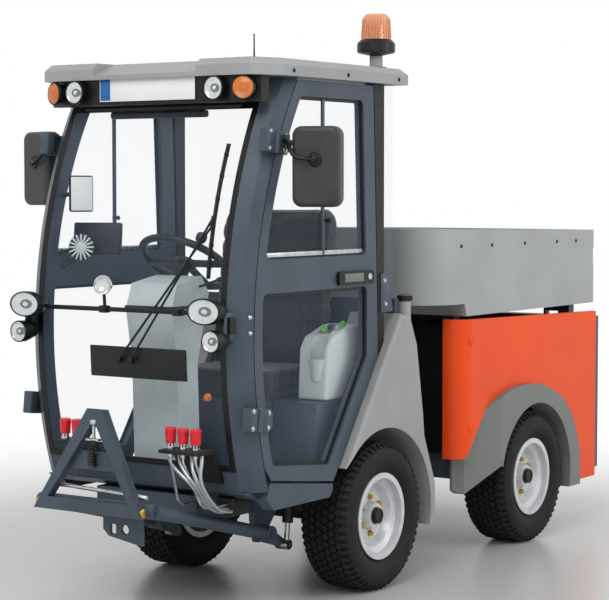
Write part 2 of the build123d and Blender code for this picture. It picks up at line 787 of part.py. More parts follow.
wheel_middle = (-545.0, 1262.0)
wheel_lean = 33.5  # degrees from level
grip_ring = 172.0
grip_radius = 14.0
wheel_hub = 42.0
spoke_width = 26.0
spoke_depth = 16.0
spoke_drop = 12.0
column_radius = 24.0
column_length = 52.0
leaning = radians(wheel_lean)
wheel_tilt = Plane(origin=at(0, *wheel_middle), x_dir=(1, 0, 0), z_dir=(0, sin(leaning), cos(leaning)))
with BuildPart() as steering_wheel:
    with BuildSketch(Plane(origin=wheel_tilt.origin, x_dir=wheel_tilt.z_dir, z_dir=wheel_tilt.y_dir)):
        with Locations((0, grip_ring)):
            Circle(grip_radius)
    revolve(axis=Axis(wheel_tilt.origin, wheel_tilt.z_dir))
    with BuildSketch(wheel_tilt.offset(-spoke_drop)):
        Circle(wheel_hub)
        Rectangle(2 * grip_ring, spoke_width)
        with Locations((0, grip_ring / 2)):
            Rectangle(spoke_width, grip_ring)
    extrude(amount=spoke_depth)
    with BuildSketch(wheel_tilt.offset(-spoke_drop)):
        Circle(column_radius)
    extrude(amount=-column_length)
write(steering_wheel, "steering_wheel")

# Lamp clusters on the corner posts
lamp_back = 900.0
lamp_front = 972.0
lamp_bezel = 18.0
headlamp_at = (408.0, 1115.0)
headlamp_half = (71.0, 46.0)
turn_lamp_at = (438.0, 1014.0)
turn_lamp_radius = 39.0
lamp_bar_at = (425.0, 1064.0)
lamp_bar_size = (26.0, 110.0)
lamp_bar_depth = 14.0
lamp_foot_at = (452.0, 1064.0)
lamp_foot_size = (30.0, 60.0)
lamp_foot_depth = 30.0
lamp_foot_y = 25.3  # corner ridge to the foot's rear face
shell_sections = (  # reach, share of the full size
    (lamp_back, 0.62),
    (lamp_front - lamp_bezel, 1.0),
    (lamp_front, 0.96),
)
with BuildPart() as lamp_clusters:
    for side, _ in sides:
        for reach, share in shell_sections:
            with BuildSketch(elevation.offset(reach)):
                with Locations((side * headlamp_at[0], headlamp_at[1])):
                    Ellipse(headlamp_half[0] * share, headlamp_half[1] * share)
        loft(ruled=True)
        for reach, share in shell_sections:
            with BuildSketch(elevation.offset(reach)):
                with Locations((side * turn_lamp_at[0], turn_lamp_at[1])):
                    Circle(turn_lamp_radius * share)
        loft(ruled=True)
        with BuildSketch(elevation.offset(lamp_back)):
            with Locations((side * lamp_bar_at[0], lamp_bar_at[1])):
                Rectangle(*lamp_bar_size)
        extrude(amount=lamp_bar_depth)
        with BuildSketch(elevation.offset(cab_front + lamp_foot_y)):
            with Locations((side * lamp_foot_at[0], lamp_foot_at[1])):
                Rectangle(*lamp_foot_size)
        extrude(amount=lamp_foot_depth)
write(lamp_clusters, "lamp_clusters")

# Wiper on the windscreen: plate, two parallel arms and a blade that follows the bow
blade_x = 356.0
blade_width = 12.0
blade_length = 469.0
blade_drop = 146.0  # top of the windscreen to the top of the blade
blade_hold = 267.0  # top of the blade to the arms' ends
blade_lift = 3.0  # blade off the glass
arm_bar = 6.0
arm_clearance = 6.2
arm_feet = (-26.0, 28.0)
arm_spread = 0.4  # of the distance between the feet, at the blade
wiper_z = 925.0
spindle_radius = 12.0
plate_middle = 43.0
plate_width = 436.0
plate_depth = 10.0
plate_start = -5.0
plate_sweep = 3.8
blade_high = screen_top - blade_drop
blade_low = blade_high - blade_length
arm_rise = blade_high - blade_hold
arm_sag = (arm_rise - wiper_z) ** 2 / (8 * glass_radius)  # bow of the glass under a straight arm
wiper_stand = arm_bar + arm_clearance + arm_sag
blade_start = degrees(asin((blade_low - cab_bow_z) / glass_radius))
blade_end = degrees(asin((blade_high - cab_bow_z) / glass_radius))
with BuildPart() as wiper:
    with BuildSketch(bow_plane(plate_start)):
        with Locations((plate_middle, glass_radius + plate_depth / 2)):
            Rectangle(plate_width, plate_depth)
    revolve(axis=bow_axis, revolution_arc=plate_sweep)
    for foot_x in arm_feet:
        foot_y = bow_at(glass_radius + wiper_stand, wiper_z)
        tip_z = arm_rise + (foot_x - arm_feet[1]) * arm_spread
        tip_y = bow_at(glass_radius + wiper_stand, arm_rise)
        rod(at(foot_x, foot_y, wiper_z), at(blade_x, tip_y, tip_z), arm_bar)
        spindle = at(foot_x, bow_at(glass_radius + plate_depth / 2, wiper_z), wiper_z)
        rod(spindle, at(foot_x, foot_y - arm_bar, wiper_z), spindle_radius)
    with BuildSketch(bow_plane(blade_start)):
        with Locations((blade_x, glass_radius + (blade_lift + wiper_stand) / 2)):
            Rectangle(blade_width, wiper_stand - blade_lift)
    revolve(axis=bow_axis, revolution_arc=blade_end - blade_start)
write(wiper, "wiper")

# Beacon on its stem
beacon_x = 420.0
beacon_y = 110.0
roof_top = cab_top + roof_height
beacon_foot = (40.0, 8.0)  # radius, height
stem_radius = 24.0
stem_top = 52.0
collar_low = (70.0, 62.0)
collar_high = (72.0, 100.0)
collar_top = (58.0, 114.0)
dome_radius = 57.0
dome_shoulder = (52.0, 82.0)
dome_crown = (40.0, 96.0)
dome_height = 98.0
with BuildPart() as beacon_base:
    with BuildSketch(Plane(origin=at(beacon_x, beacon_y, roof_top), x_dir=(1, 0, 0), z_dir=(0, -1, 0))):
        with BuildLine():
            Polyline((0, 0), (beacon_foot[0], 0), beacon_foot, (stem_radius, beacon_foot[1]),
                     (stem_radius, stem_top), collar_low, collar_high, collar_top, (0, collar_top[1]),
                     close=True)
        make_face()
    revolve(axis=Axis(at(beacon_x, beacon_y, roof_top), (0, 0, 1)))
write(beacon_base, "beacon_base")
with BuildPart() as beacon_dome:
    dome_seat = at(beacon_x, beacon_y, roof_top + collar_top[1])
    with BuildSketch(Plane(origin=dome_seat, x_dir=(1, 0, 0), z_dir=(0, -1, 0))):
        with BuildLine():
            Polyline((0, 0), (dome_radius, 0), dome_shoulder, dome_crown, (0, dome_height), close=True)
        make_face()
    revolve(axis=Axis(at(beacon_x, beacon_y, 0), (0, 0, 1)))
write(beacon_dome, "beacon_dome")

# Hydraulic couplers on two shelves that stand on the lower cross beam
shelf_z = 612.0
shelf_plate = 12.0
shelf_front = 958.0
shelf_rear = 862.0
shelf_root = 500.0
leg_top = 545.0
leg_depth = 16.0
line_gap = 0.3
leg_foot = bow_at(glass_radius, shelf_root) - line_gap
leg_head = bow_at(glass_radius, leg_top) - line_gap
coupler_y = 930.0
coupler_pitch = 55.0
coupler_body = 12.0
coupler_cap = 17.0
cap_low = 648.0
cap_high = 700.0
bank_edge = 5.0
left_bank = 280.0
shelf_table = ((left_bank, 3), (-232.0, 2))  # middle X, couplers
with BuildPart() as couplers:
    for bank_x, count in shelf_table:
        bank_half = coupler_pitch * count / 2 + bank_edge
        with BuildSketch(side_plane.offset(bank_x - bank_half)):
            with BuildLine():
                Polyline((leg_foot, shelf_root), (leg_foot - leg_depth, shelf_root),
                         (-shelf_rear - leg_depth, shelf_z), (-shelf_front, shelf_z),
                         (-shelf_front, shelf_z + shelf_plate), (-shelf_rear, shelf_z + shelf_plate),
                         (leg_head, leg_top), close=True)
            make_face()
        extrude(amount=2 * bank_half)
        with BuildSketch(plan_plane.offset(shelf_z + shelf_plate)):
            with Locations((bank_x, -coupler_y)):
                with GridLocations(coupler_pitch, 0, count, 1):
                    Circle(coupler_body)
        extrude(amount=cap_low - shelf_z - shelf_plate)
        with BuildSketch(plan_plane.offset(cap_low)):
            with Locations((bank_x, -coupler_y)):
                with GridLocations(coupler_pitch, 0, count, 1):
                    Circle(coupler_cap)
        extrude(amount=cap_high - cap_low)
write(couplers, "hydraulic_couplers")

# Valve block under the floor and the steel lines from the couplers, bent on even radii
line_radius = 5.0
line_bend = 24.0
block_outset = 72.0  # middle of a lift arm to the middle of the block
block_width = 76.0
block_y = (-764.0, -650.0)
block_height = 62.0
block_round = 8.0
block_x = lift_x + block_outset
block_port = 18.0  # ports either side of the block's middle
rail_port = 23.0  # port outside the middle of the rail
line_drop = 32.0
line_knee = (-880.0, 20.0)  # Y, and rise over the end
line_turn = -850.0
line_table = (  # place on the shelf, X below, Y and Z of the end
    (-1, rail_x + rail_port, -rail_nose - line_gap, 418.0),
    (0, block_x - block_port, block_y[0] - line_gap, 412.0),
    (1, block_x + block_port, block_y[0] - line_gap, 420.0),
)
with BuildPart() as valve_block:
    with BuildSketch(plan_plane.offset(rail_top - block_height)):
        with Locations((block_x, sum(block_y) / 2)):
            RectangleRounded(block_width, block_y[1] - block_y[0], block_round)
    extrude(amount=block_height)
write(valve_block, "valve_block")
with BuildPart() as steel_lines:
    for place, low_x, end_y, end_z in line_table:
        top_x = left_bank + place * coupler_pitch
        head = at(top_x, -coupler_y, shelf_z - line_gap)
        with BuildLine():
            FilletPolyline(head, at(top_x, -coupler_y, shelf_z - line_drop),
                           at(low_x, line_knee[0], end_z + line_knee[1]), at(low_x, line_turn, end_z),
                           at(low_x, end_y, end_z), radius=line_bend)
        with BuildSketch(Plane(origin=head, z_dir=(0, 0, -1))):
            Circle(line_radius)
        sweep()
write(steel_lines, "steel_lines")

# Rear frame: lug in the yoke, cross beams and rails
lug_half = 44.0
beam_front = 702.0
beam_half = 425.0
panel_seam = 0.3
beam_width = 80.0
upright_size = 50.0
upright_inset = 30.0
tail_bar_z = 900.0
tail_bar_size = (40.0, 50.0)  # depth, height
bracket_radius = 18.0
bracket_shift = 8.0
hinge_plate = 12.0
hinge_side_gap = 1.0
pin_end = 4.0
rear_end = tub_rear - panel_inset - panel_seam
tail_bar_top = tail_bar_z + tail_bar_size[1]
upright_y = 770.0
upright_x = 380.0
hinge_at = 300.0
eye_half = 30.0
eye_radius = 20.0
tub_pin = 10.0
with BuildPart() as rear_frame:
    with BuildSketch(plan_plane.offset(rail_bottom + lug_gap)):
        with BuildLine():
            Line((lug_half, beam_front), (lug_half, pivot_back))
            ThreePointArc((lug_half, pivot_back), (0, pivot_back - lug_half), (-lug_half, pivot_back))
            Polyline((-lug_half, pivot_back), (-lug_half, beam_front), (lug_half, beam_front))
        make_face()
        with Locations((0, pivot_back)):
            Circle(pin_radius + pin_fit, mode=Mode.SUBTRACT)
    extrude(amount=rail_top - yoke_plate - rail_bottom - 2 * lug_gap)
    with BuildSketch(plan_plane.offset(rail_bottom)):
        for beam_y in (beam_front + beam_width / 2, rear_end - beam_width / 2):
            with Locations((0, beam_y)):
                Rectangle(2 * beam_half, beam_width)
        with Locations((rail_x, (beam_front + rear_end) / 2), (-rail_x, (beam_front + rear_end) / 2)):
            Rectangle(rail_width, rear_end - beam_front)
    extrude(amount=rail_top - rail_bottom)
write(rear_frame, "rear_frame")

# Uprights under the tub, with a tail bar and the tub's hinge brackets and pins
with BuildPart() as uprights:
    with BuildSketch(plan_plane.offset(rail_top)):
        for upright_at in (upright_y, rear_end - upright_inset):
            with Locations((upright_x, upright_at), (-upright_x, upright_at)):
                Rectangle(upright_size, upright_size)
    extrude(amount=tub_bottom - tub_seat - rail_top)
    with BuildSketch(plan_plane.offset(tail_bar_z)):
        with Locations((0, rear_end - upright_inset)):
            Rectangle(2 * upright_x, tail_bar_size[0])
    extrude(amount=tail_bar_size[1])
    for side, _ in sides:
        hinge_reach = eye_half + hinge_side_gap
        for plate_x in (hinge_at - hinge_reach - hinge_plate, hinge_at + hinge_reach):
            with BuildSketch(side_plane.offset(side * plate_x)):
                with Locations((tub_hinge_y, tub_hinge_z)):
                    Circle(bracket_radius)
                with Locations((tub_hinge_y - bracket_shift, (tail_bar_top + tub_hinge_z) / 2)):
                    Rectangle(2 * bracket_radius, tub_hinge_z - tail_bar_top)
            extrude(amount=side * hinge_plate)
        with BuildSketch(side_plane.offset(side * (hinge_at - eye_half - pin_end))):
            with Locations((tub_hinge_y, tub_hinge_z)):
                Circle(tub_pin)
        extrude(amount=side * 2 * (eye_half + pin_end))
write(uprights, "rear_uprights")

# Engine block
engine_y = 1180.0
engine_size = (460.0, 640.0)
engine_height = 430.0
engine_round = 30.0
with BuildPart() as engine:
    with BuildSketch(plan_plane.offset(rail_top)):
        with Locations((0, engine_y)):
            Rectangle(*engine_size)
    extrude(amount=engine_height)
    fillet(engine.edges().filter_by(Axis.Z), engine_round)
write(engine, "engine")

# Black bulkhead behind the orange front corners
bulkhead_plate = 24.0
bulkhead_drop = 10.0
with BuildPart() as bulkhead:
    with BuildSketch(plan_plane.offset(rail_top)):
        with Locations((0, beam_front - bulkhead_plate / 2)):
            Rectangle(2 * body_return, bulkhead_plate)
    extrude(amount=panel_top_rear - bulkhead_drop - rail_top)
write(bulkhead, "rear_bulkhead")

# Rear arches: flared lips that sweep forward into a tapered skirt
arch_foot_y = 676.0
rear_y = wheelbase
arch_low = 202.0
arch_front = (rear_y - 405, 626.0)
arch_crown = (rear_y - 34, 694.0)
arch_shoulder = (rear_y + 257, 601.0)
arch_flank = (rear_y + 380, 455.0)
arch_tail = (rear_y + 422, 300.0)
skirt_top = (arch_foot_y - 10, 425.0)
skirt_toe = (arch_foot_y - 10, 292.0)
skirt_heel = (arch_foot_y + 32, 272.0)
skirt_end = (rear_y - 325, 372.0)
skirt_half = 440.0  # half width at the skirt's foot
skirt_knee = 480.0
skirt_inner = 390.0
skirt_cut = 60.0
skirt_seam = 1.0
cut_reach = 700.0
cut_height = 520.0


def arch_outline():
    """Upper outline of the rear arch, from its front foot round to its rear foot."""
    ThreePointArc(arch_front, arch_crown, arch_shoulder)
    ThreePointArc(arch_shoulder, arch_flank, arch_tail)
    Line(arch_tail, (arch_tail[0], arch_low))
    Line(skirt_top, arch_front)


with BuildPart() as arches:
    for side, _ in sides:
        with BuildSketch(side_plane.offset(side * arch_back)):
            with BuildLine():
                arch_outline()
                Polyline((arch_tail[0], arch_low), (rear_y, arch_low), skirt_end, skirt_heel, skirt_toe,
                         skirt_top)
            make_face()
            with Locations((rear_y, wheel_z)):
                Circle(arch_inner, mode=Mode.SUBTRACT)
        extrude(amount=side * (arch_outer_half - arch_back))
        with BuildSketch(plan_plane.offset(arch_low)):
            with BuildLine():
                Polyline((side * skirt_half, arch_foot_y - skirt_cut), (side * skirt_half, arch_foot_y),
                         (side * skirt_knee, skirt_heel[0]), (side * arch_outer_half, skirt_end[0]),
                         (side * cut_reach, skirt_end[0]), (side * cut_reach, arch_foot_y - skirt_cut),
                         close=True)
            make_face()
            with BuildLine():
                Polyline((side * skirt_inner, arch_foot_y - skirt_cut), (side * skirt_inner, arch_foot_y),
                         (side * (skirt_half + skirt_seam), arch_foot_y),
                         (side * (skirt_half + skirt_seam), arch_foot_y - skirt_cut), close=True)
            make_face()
        extrude(amount=cut_height, mode=Mode.SUBTRACT)
write(arches, "rear_arches")

# Orange side panels, bent round the front corners, over the arches
with BuildPart() as side_panels:
    for side, _ in sides:
        with BuildSketch(plan_plane.offset(panel_bottom)):
            with BuildLine():
                FilletPolyline((side * body_return, body_front), (side * body_half, body_front),
                               (side * body_half, tub_rear - panel_inset), radius=body_corner)
                offset(amount=body_wall, side=Side.RIGHT if side < 0 else Side.LEFT)
            make_face()
        extrude(amount=panel_top_front - panel_bottom)
    with BuildSketch(side_plane.offset(-cut_reach)):
        with BuildLine():
            arch_outline()
            Polyline((arch_tail[0], arch_low), (0, arch_low), (0, skirt_top[1]), skirt_top)
        make_face()
        with BuildLine():
            Polyline((body_front, panel_top_front), (tub_rear, panel_top_rear), (tub_rear, panel_top_front),
                     close=True)
        make_face()
    extrude(amount=2 * cut_reach, mode=Mode.SUBTRACT)
write(side_panels, "side_panels")

# Rear panel, closing the tail
rear_panel_low = panel_bottom + 40
rear_panel_high = panel_top_rear - 22
with BuildPart() as rear_panel:
    with BuildSketch(elevation.offset(panel_inset - tub_rear - rear_panel_thickness)):
        with Locations((0, (rear_panel_low + rear_panel_high) / 2)):
            Rectangle(2 * body_half, rear_panel_high - rear_panel_low)
    extrude(amount=rear_panel_thickness)
write(rear_panel, "rear_panel")

# Load tub, open above, hinged at its tail
tub_floor = 24.0
notch_low = 1190.0
notch_high = 1262.0
notch_depth = 40.0
notch_width = 70.0
cut_margin = 10.0
with BuildPart() as tub:
    with BuildSketch(plan_plane.offset(tub_bottom)):
        with Locations((0, (tub_front + tub_rear) / 2)):
            Rectangle(2 * tub_half, tub_rear - tub_front)
    extrude(amount=tub_top_front - tub_bottom)
    corners = tub.edges().filter_by(Axis.Z).group_by(Axis.Y)
    fillet(corners[0], tub_corner)
    corners = tub.edges().filter_by(Axis.Z).group_by(Axis.Y)
    fillet(corners[-1], tub_rear_corner)
    with BuildSketch(plan_plane.offset(tub_bottom + tub_step + tub_floor)):
        with Locations((0, (tub_front + tub_rear) / 2)):
            inner_length = tub_rear - tub_front - 2 * tub_wall
            RectangleRounded(2 * (tub_half - tub_wall), inner_length, tub_corner - tub_wall)
    extrude(amount=tub_top_front, mode=Mode.SUBTRACT)
    with BuildSketch(side_plane.offset(-tub_half - cut_margin)):
        with BuildLine():
            tub_nose = tub_front - cut_margin
            Polyline((tub_nose, tub_top_front), (tub_rear + cut_margin, tub_top_rear),
                     (tub_rear + cut_margin, tub_top_front + cut_margin),
                     (tub_nose, tub_top_front + cut_margin), close=True)
        make_face()
        with BuildLine():
            Polyline((tub_nose, tub_bottom - cut_margin), (tub_step_end, tub_bottom - cut_margin),
                     (tub_step_end - tub_step_slope, tub_bottom + tub_step), (tub_nose, tub_bottom + tub_step),
                     close=True)
        make_face()
    extrude(amount=2 * (tub_half + cut_margin), mode=Mode.SUBTRACT)
    for side, _ in sides:
        with BuildSketch(side_plane.offset(side * (hinge_at - eye_half))):
            with Locations((tub_hinge_y, tub_hinge_z)):
                Circle(eye_radius)
            with Locations((tub_hinge_y, (tub_hinge_z + tub_bottom) / 2)):
                Rectangle(2 * eye_radius, tub_bottom - tub_hinge_z)
            with Locations((tub_hinge_y, tub_hinge_z)):
                Circle(tub_pin + hinge_fit, mode=Mode.SUBTRACT)
        extrude(amount=side * 2 * eye_half)
        with BuildSketch(side_plane.offset(side * (tub_half - notch_width))):
            with Locations((tub_rear, (notch_low + notch_high) / 2)):
                Rectangle(2 * notch_depth, notch_high - notch_low)
        extrude(amount=side * (notch_width + cut_margin), mode=Mode.SUBTRACT)
write(tub, "load_tub")

# Tail lamps on the rear panel
tail_lamp_inset = 70.0
tail_lamp_z = 800.0
tail_lamp_size = (84.0, 190.0)
tail_lamp_round = 12.0
with BuildPart() as tail_lamps:
    with BuildSketch(elevation.offset(panel_inset - tub_rear - rear_panel_thickness)):
        with Locations((body_half - tail_lamp_inset, tail_lamp_z), (tail_lamp_inset - body_half, tail_lamp_z)):
            RectangleRounded(*tail_lamp_size, tail_lamp_round)
    extrude(amount=-(tail - tub_rear + panel_inset - rear_panel_thickness))
write(tail_lamps, "tail_lamps")

# Front lift: two arms with their levers, tied by a cross tube
frame_foot_y = frame_thickness / 2 - nose_reach
tip_rise = 22.0
weld_gap = 0.3
foot_plate = 12.0
boss_radius = 32.0
boss_width = 50.0
boss_gap = 1.0
lever_root = (14.0, 28.0)
lever_half = (12.0, 16.0)
lever_eye = 20.0
lever_plate = 22.0
lever_pin = (20.0, 36.0)  # from the bracket face: start, length
bore_start = 3.0
bore_length = 60.0
plate_inset = 57.0  # middle of the arm to the foot plate's outer edge
plate_inner = 30.0
plate_toe = (345.0, 55.0)
plate_sole = 322.0
plate_low = 298.0
plate_hole = (128.0, 350.0)
plate_hole_radius = 17.0
plate_slot = (75.0, 348.0)
plate_slot_size = (26.0, 36.0)
plate_slot_round = 6.0
lean = radians(frame_lean)
tip_back = (frame_thickness / 2 + arm_radius + weld_gap + tip_rise * sin(lean)) / cos(lean)
arm_tip = (frame_foot_y + tip_back, frame_foot_z + tip_rise)
with BuildPart() as lift_arms:
    for side, _ in sides:
        boss = side_plane.offset(side * (lift_bracket_x + boss_gap))
        with BuildSketch(boss):
            with Locations(lift_pivot):
                Circle(boss_radius)
        extrude(amount=side * boss_width)
        rod(at(side * lift_x, *lift_pivot), at(side * lift_x, *arm_tip), arm_radius)
        with BuildSketch(boss):
            with BuildLine():
                Polyline((lift_pivot[0] - lever_root[0], lift_pivot[1] - lever_root[1]),
                         (lift_pivot[0] + lever_root[0], lift_pivot[1] + lever_root[1]),
                         (lever_end[0] + lever_half[0], lever_end[1] + lever_half[1]),
                         (lever_end[0] + lever_half[0], lever_end[1] - lever_half[1]), close=True)
            make_face()
            with Locations(lever_end):
                Circle(lever_eye)
        extrude(amount=side * lever_plate)
        with BuildSketch(side_plane.offset(side * (lift_bracket_x + lever_pin[0]))):
            with Locations(lever_end):
                Circle(ram_pin)
        extrude(amount=side * lever_pin[1])
    rod(at(-lift_x, *arm_tip), at(lift_x, *arm_tip), arm_radius)
    with BuildSketch(elevation.offset(-arm_tip[0] - foot_plate / 2)):
        with BuildLine():
            plate_outer = lift_x - plate_inset
            Polyline((plate_inner, arm_tip[1]), (plate_inner, plate_toe[0]), (plate_toe[1], plate_sole),
                     (plate_outer, plate_low), (plate_outer, arm_tip[1]), close=True)
        make_face()
        with Locations(plate_hole):
            Circle(plate_hole_radius, mode=Mode.SUBTRACT)
        with Locations(plate_slot):
            RectangleRounded(*plate_slot_size, plate_slot_round, mode=Mode.SUBTRACT)
    extrude(amount=foot_plate)
    for side, _ in sides:
        with BuildSketch(side_plane.offset(side * (lift_bracket_x - bore_start))):
            with Locations(lift_pivot):
                Circle(lift_pin + lift_fit)
        extrude(amount=side * bore_length, mode=Mode.SUBTRACT)
write(lift_arms, "lift_arms")

# Coupling triangle, leaning back, welded to the lift's cross tube
gusset_low = 150.0
gusset_high = 215.0
gusset_plate = 10.0
gusset_half = (120.0, 78.0)
leg_spread = 1.35  # of the leg's width, along the foot
head_depth = 40.0
with BuildPart() as triangle:
    foot_middle = at(0, frame_foot_y, frame_foot_z)
    face = Plane(origin=foot_middle, x_dir=(1, 0, 0), z_dir=(0, -cos(lean), sin(lean)))
    with BuildSketch(face.offset(-frame_thickness / 2)):
        with BuildLine():
            Polyline((-frame_foot_half, 0), (frame_foot_half, 0), (frame_head_half, frame_height),
                     (-frame_head_half, frame_height), close=True)
        make_face()
        with BuildLine():
            gap_half = frame_foot_half - frame_leg * leg_spread
            Polyline((-gap_half, frame_leg), (gap_half, frame_leg), (0, frame_height - head_depth), close=True)
        make_face(mode=Mode.SUBTRACT)
    extrude(amount=frame_thickness)
    with BuildSketch(face.offset(-frame_thickness / 2)):
        with BuildLine():
            Polyline((-gusset_half[0], gusset_low), (gusset_half[0], gusset_low), (gusset_half[1], gusset_high),
                     (-gusset_half[1], gusset_high), close=True)
        make_face()
    extrude(amount=gusset_plate)
write(triangle, "coupling_triangle")

# Lift rams: barrels hung from the frame brackets, rods down to the levers
ram_run = Vector(0, lever_end[0] - ram_top[0], lever_end[1] - ram_top[1])
ram_along = ram_run.normalized()
barrel_length = 122.0
barrel_eye = 20.0
barrel_gap = 2.0
barrel_head = 26.0
rod_start = 60.0
rod_eye = 19.0
rod_eye_at = 25.0
rod_eye_width = 30.0
rod_eye_fit = 1.2
with BuildPart() as ram_barrels:
    for side, _ in sides:
        top = at(side * ram_x, *ram_top)
        with BuildSketch(side_plane.offset(side * (lift_bracket_x + barrel_gap))):
            with Locations(ram_top):
                Circle(barrel_eye)
        extrude(amount=side * boss_width)
        rod(top, top + ram_along * barrel_length, ram_radius)
        with BuildSketch(side_plane.offset(side * (lift_bracket_x - bore_start))):
            with Locations(ram_top):
                Circle(ram_pin + lift_fit)
        extrude(amount=side * bore_length, mode=Mode.SUBTRACT)
        with BuildSketch(Plane(origin=top + ram_along * barrel_head, z_dir=ram_run)):
            Circle(rod_radius + lift_fit)
        extrude(amount=barrel_length, mode=Mode.SUBTRACT)
write(ram_barrels, "lift_ram_barrels")
with BuildPart() as ram_rods:
    for side, _ in sides:
        eye = at(side * ram_x, *lever_end)
        rod(at(side * ram_x, *ram_top) + ram_along * rod_start, eye, rod_radius)
        with BuildSketch(side_plane.offset(side * (lift_bracket_x + rod_eye_at))):
            with Locations(lever_end):
                Circle(rod_eye)
        extrude(amount=side * rod_eye_width)
        with BuildSketch(side_plane.offset(side * lift_bracket_x)):
            with Locations(lever_end):
                Circle(ram_pin + rod_eye_fit)
        extrude(amount=side * bore_length, mode=Mode.SUBTRACT)
write(ram_rods, "lift_ram_rods")
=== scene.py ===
import bpy
import math
from mathutils import Matrix, Vector


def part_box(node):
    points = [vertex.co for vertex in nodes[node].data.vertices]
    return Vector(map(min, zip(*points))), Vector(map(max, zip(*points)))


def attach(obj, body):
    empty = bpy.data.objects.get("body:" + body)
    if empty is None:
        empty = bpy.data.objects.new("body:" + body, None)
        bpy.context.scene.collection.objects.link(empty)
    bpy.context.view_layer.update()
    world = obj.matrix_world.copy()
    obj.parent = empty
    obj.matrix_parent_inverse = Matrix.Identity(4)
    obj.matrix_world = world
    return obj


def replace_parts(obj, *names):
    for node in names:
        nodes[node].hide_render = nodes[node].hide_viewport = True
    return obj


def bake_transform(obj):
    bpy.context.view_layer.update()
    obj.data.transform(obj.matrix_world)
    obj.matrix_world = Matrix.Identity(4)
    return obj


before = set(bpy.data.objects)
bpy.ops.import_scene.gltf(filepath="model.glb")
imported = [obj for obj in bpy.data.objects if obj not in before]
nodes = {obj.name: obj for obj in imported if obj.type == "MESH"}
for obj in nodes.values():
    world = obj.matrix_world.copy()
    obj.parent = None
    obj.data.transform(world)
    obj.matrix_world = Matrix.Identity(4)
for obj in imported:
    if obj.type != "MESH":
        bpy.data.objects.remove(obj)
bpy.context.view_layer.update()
axleY = -402  # front axle in the frame, mm; places below are counted from it
sides = ((1, "left"), (-1, "right"))
bow = {"middleY": 878, "middleZ": 1010, "glassRadius": 1760}  # the cab front's bow, seen from the side
hingePoints = ((-806, 733), (-700, 1700))  # Y and Z of each door's hinges
print("frame loaded:", len(nodes), "solids")


def spot(x, y, z):  # millimetres from the front axle to metres in the frame
    return Vector((x, y + axleY, z)) / 1000


def linear(hexText):  # sRGB hex to linear, opaque
    parts = [int(hexText[i:i + 2], 16) / 255 for i in (1, 3, 5)]
    return tuple(c / 12.92 if c <= 0.04045 else ((c + 0.055) / 1.055) ** 2.4 for c in parts) + (1.0,)


def addNode(tree, kind, settings, links=None):
    node = tree.nodes.new(kind)
    for key, value in settings.items():
        if isinstance(key, int) or key in node.inputs:
            node.inputs[key].default_value = value
        else:
            setattr(node, key, value)
    for key, (source, output) in (links or {}).items():
        tree.links.new(source.outputs[output], node.inputs[key])
    return node


def newMaterial(name):
    material = bpy.data.materials.new(name)
    material.use_nodes = True
    return material, material.node_tree, material.node_tree.nodes["Principled BSDF"]


# one recipe for coated, moulded and cast surfaces: broad tone patches, a fine grain in relief, worn roughness
def coatedSurface(name, look):
    material, tree, shader = newMaterial(name)
    coords = addNode(tree, "ShaderNodeTexCoord", {})
    patches = addNode(tree, "ShaderNodeTexNoise",
                      {"Scale": 1000 / look["patchMm"], "Detail": 4.0, "Roughness": 0.55},
                      {"Vector": (coords, "Object")})
    ramp = addNode(tree, "ShaderNodeValToRGB", {}, {"Fac": (patches, "Fac")})
    ramp.color_ramp.elements[0].position = 0.3
    ramp.color_ramp.elements[0].color = linear(look["dark"])
    ramp.color_ramp.elements[1].position = 0.7
    ramp.color_ramp.elements[1].color = linear(look["light"])
    grain = addNode(tree, "ShaderNodeTexNoise", {"Scale": 1000 / look["grainMm"], "Detail": 3.0},
                    {"Vector": (coords, "Object")})
    relief = addNode(tree, "ShaderNodeBump", {"Strength": look["relief"], "Distance": 0.0005},
                     {"Height": (grain, "Fac")})
    wear = addNode(tree, "ShaderNodeMapRange", {"From Min": 0.3, "From Max": 0.7, "To Min": look["rough"][0],
                                               "To Max": look["rough"][1]}, {"Value": (patches, "Fac")})
    tree.links.new(ramp.outputs["Color"], shader.inputs["Base Color"])
    tree.links.new(wear.outputs["Result"], shader.inputs["Roughness"])
    tree.links.new(relief.outputs["Normal"], shader.inputs["Normal"])
    shader.inputs["Metallic"].default_value = look.get("metal", 0.0)
    shader.inputs["Specular IOR Level"].default_value = look.get("specular", 0.4)
    shader.inputs["Coat Weight"].default_value = look.get("coat", 0.0)
    shader.inputs["Coat Roughness"].default_value = look.get("coatRough", 0.1)
    return material


# lenses and panes: clear, tinted, seen through
def clearSurface(name, look):
    material, tree, shader = newMaterial(name)
    coords = addNode(tree, "ShaderNodeTexCoord", {})
    haze = addNode(tree, "ShaderNodeTexNoise", {"Scale": 1000 / look["patchMm"], "Detail": 3.0},
                   {"Vector": (coords, "Object")})
    smear = addNode(tree, "ShaderNodeMapRange", {"From Min": 0.35, "From Max": 0.75, "To Min": look["rough"][0],
                                                "To Max": look["rough"][1]}, {"Value": (haze, "Fac")})
    tree.links.new(smear.outputs["Result"], shader.inputs["Roughness"])
    shader.inputs["Base Color"].default_value = linear(look["colour"])
    shader.inputs["Alpha"].default_value = look["alpha"]
    shader.inputs["IOR"].default_value = look["ior"]
    shader.inputs["Specular IOR Level"].default_value = look["specular"]
    return material


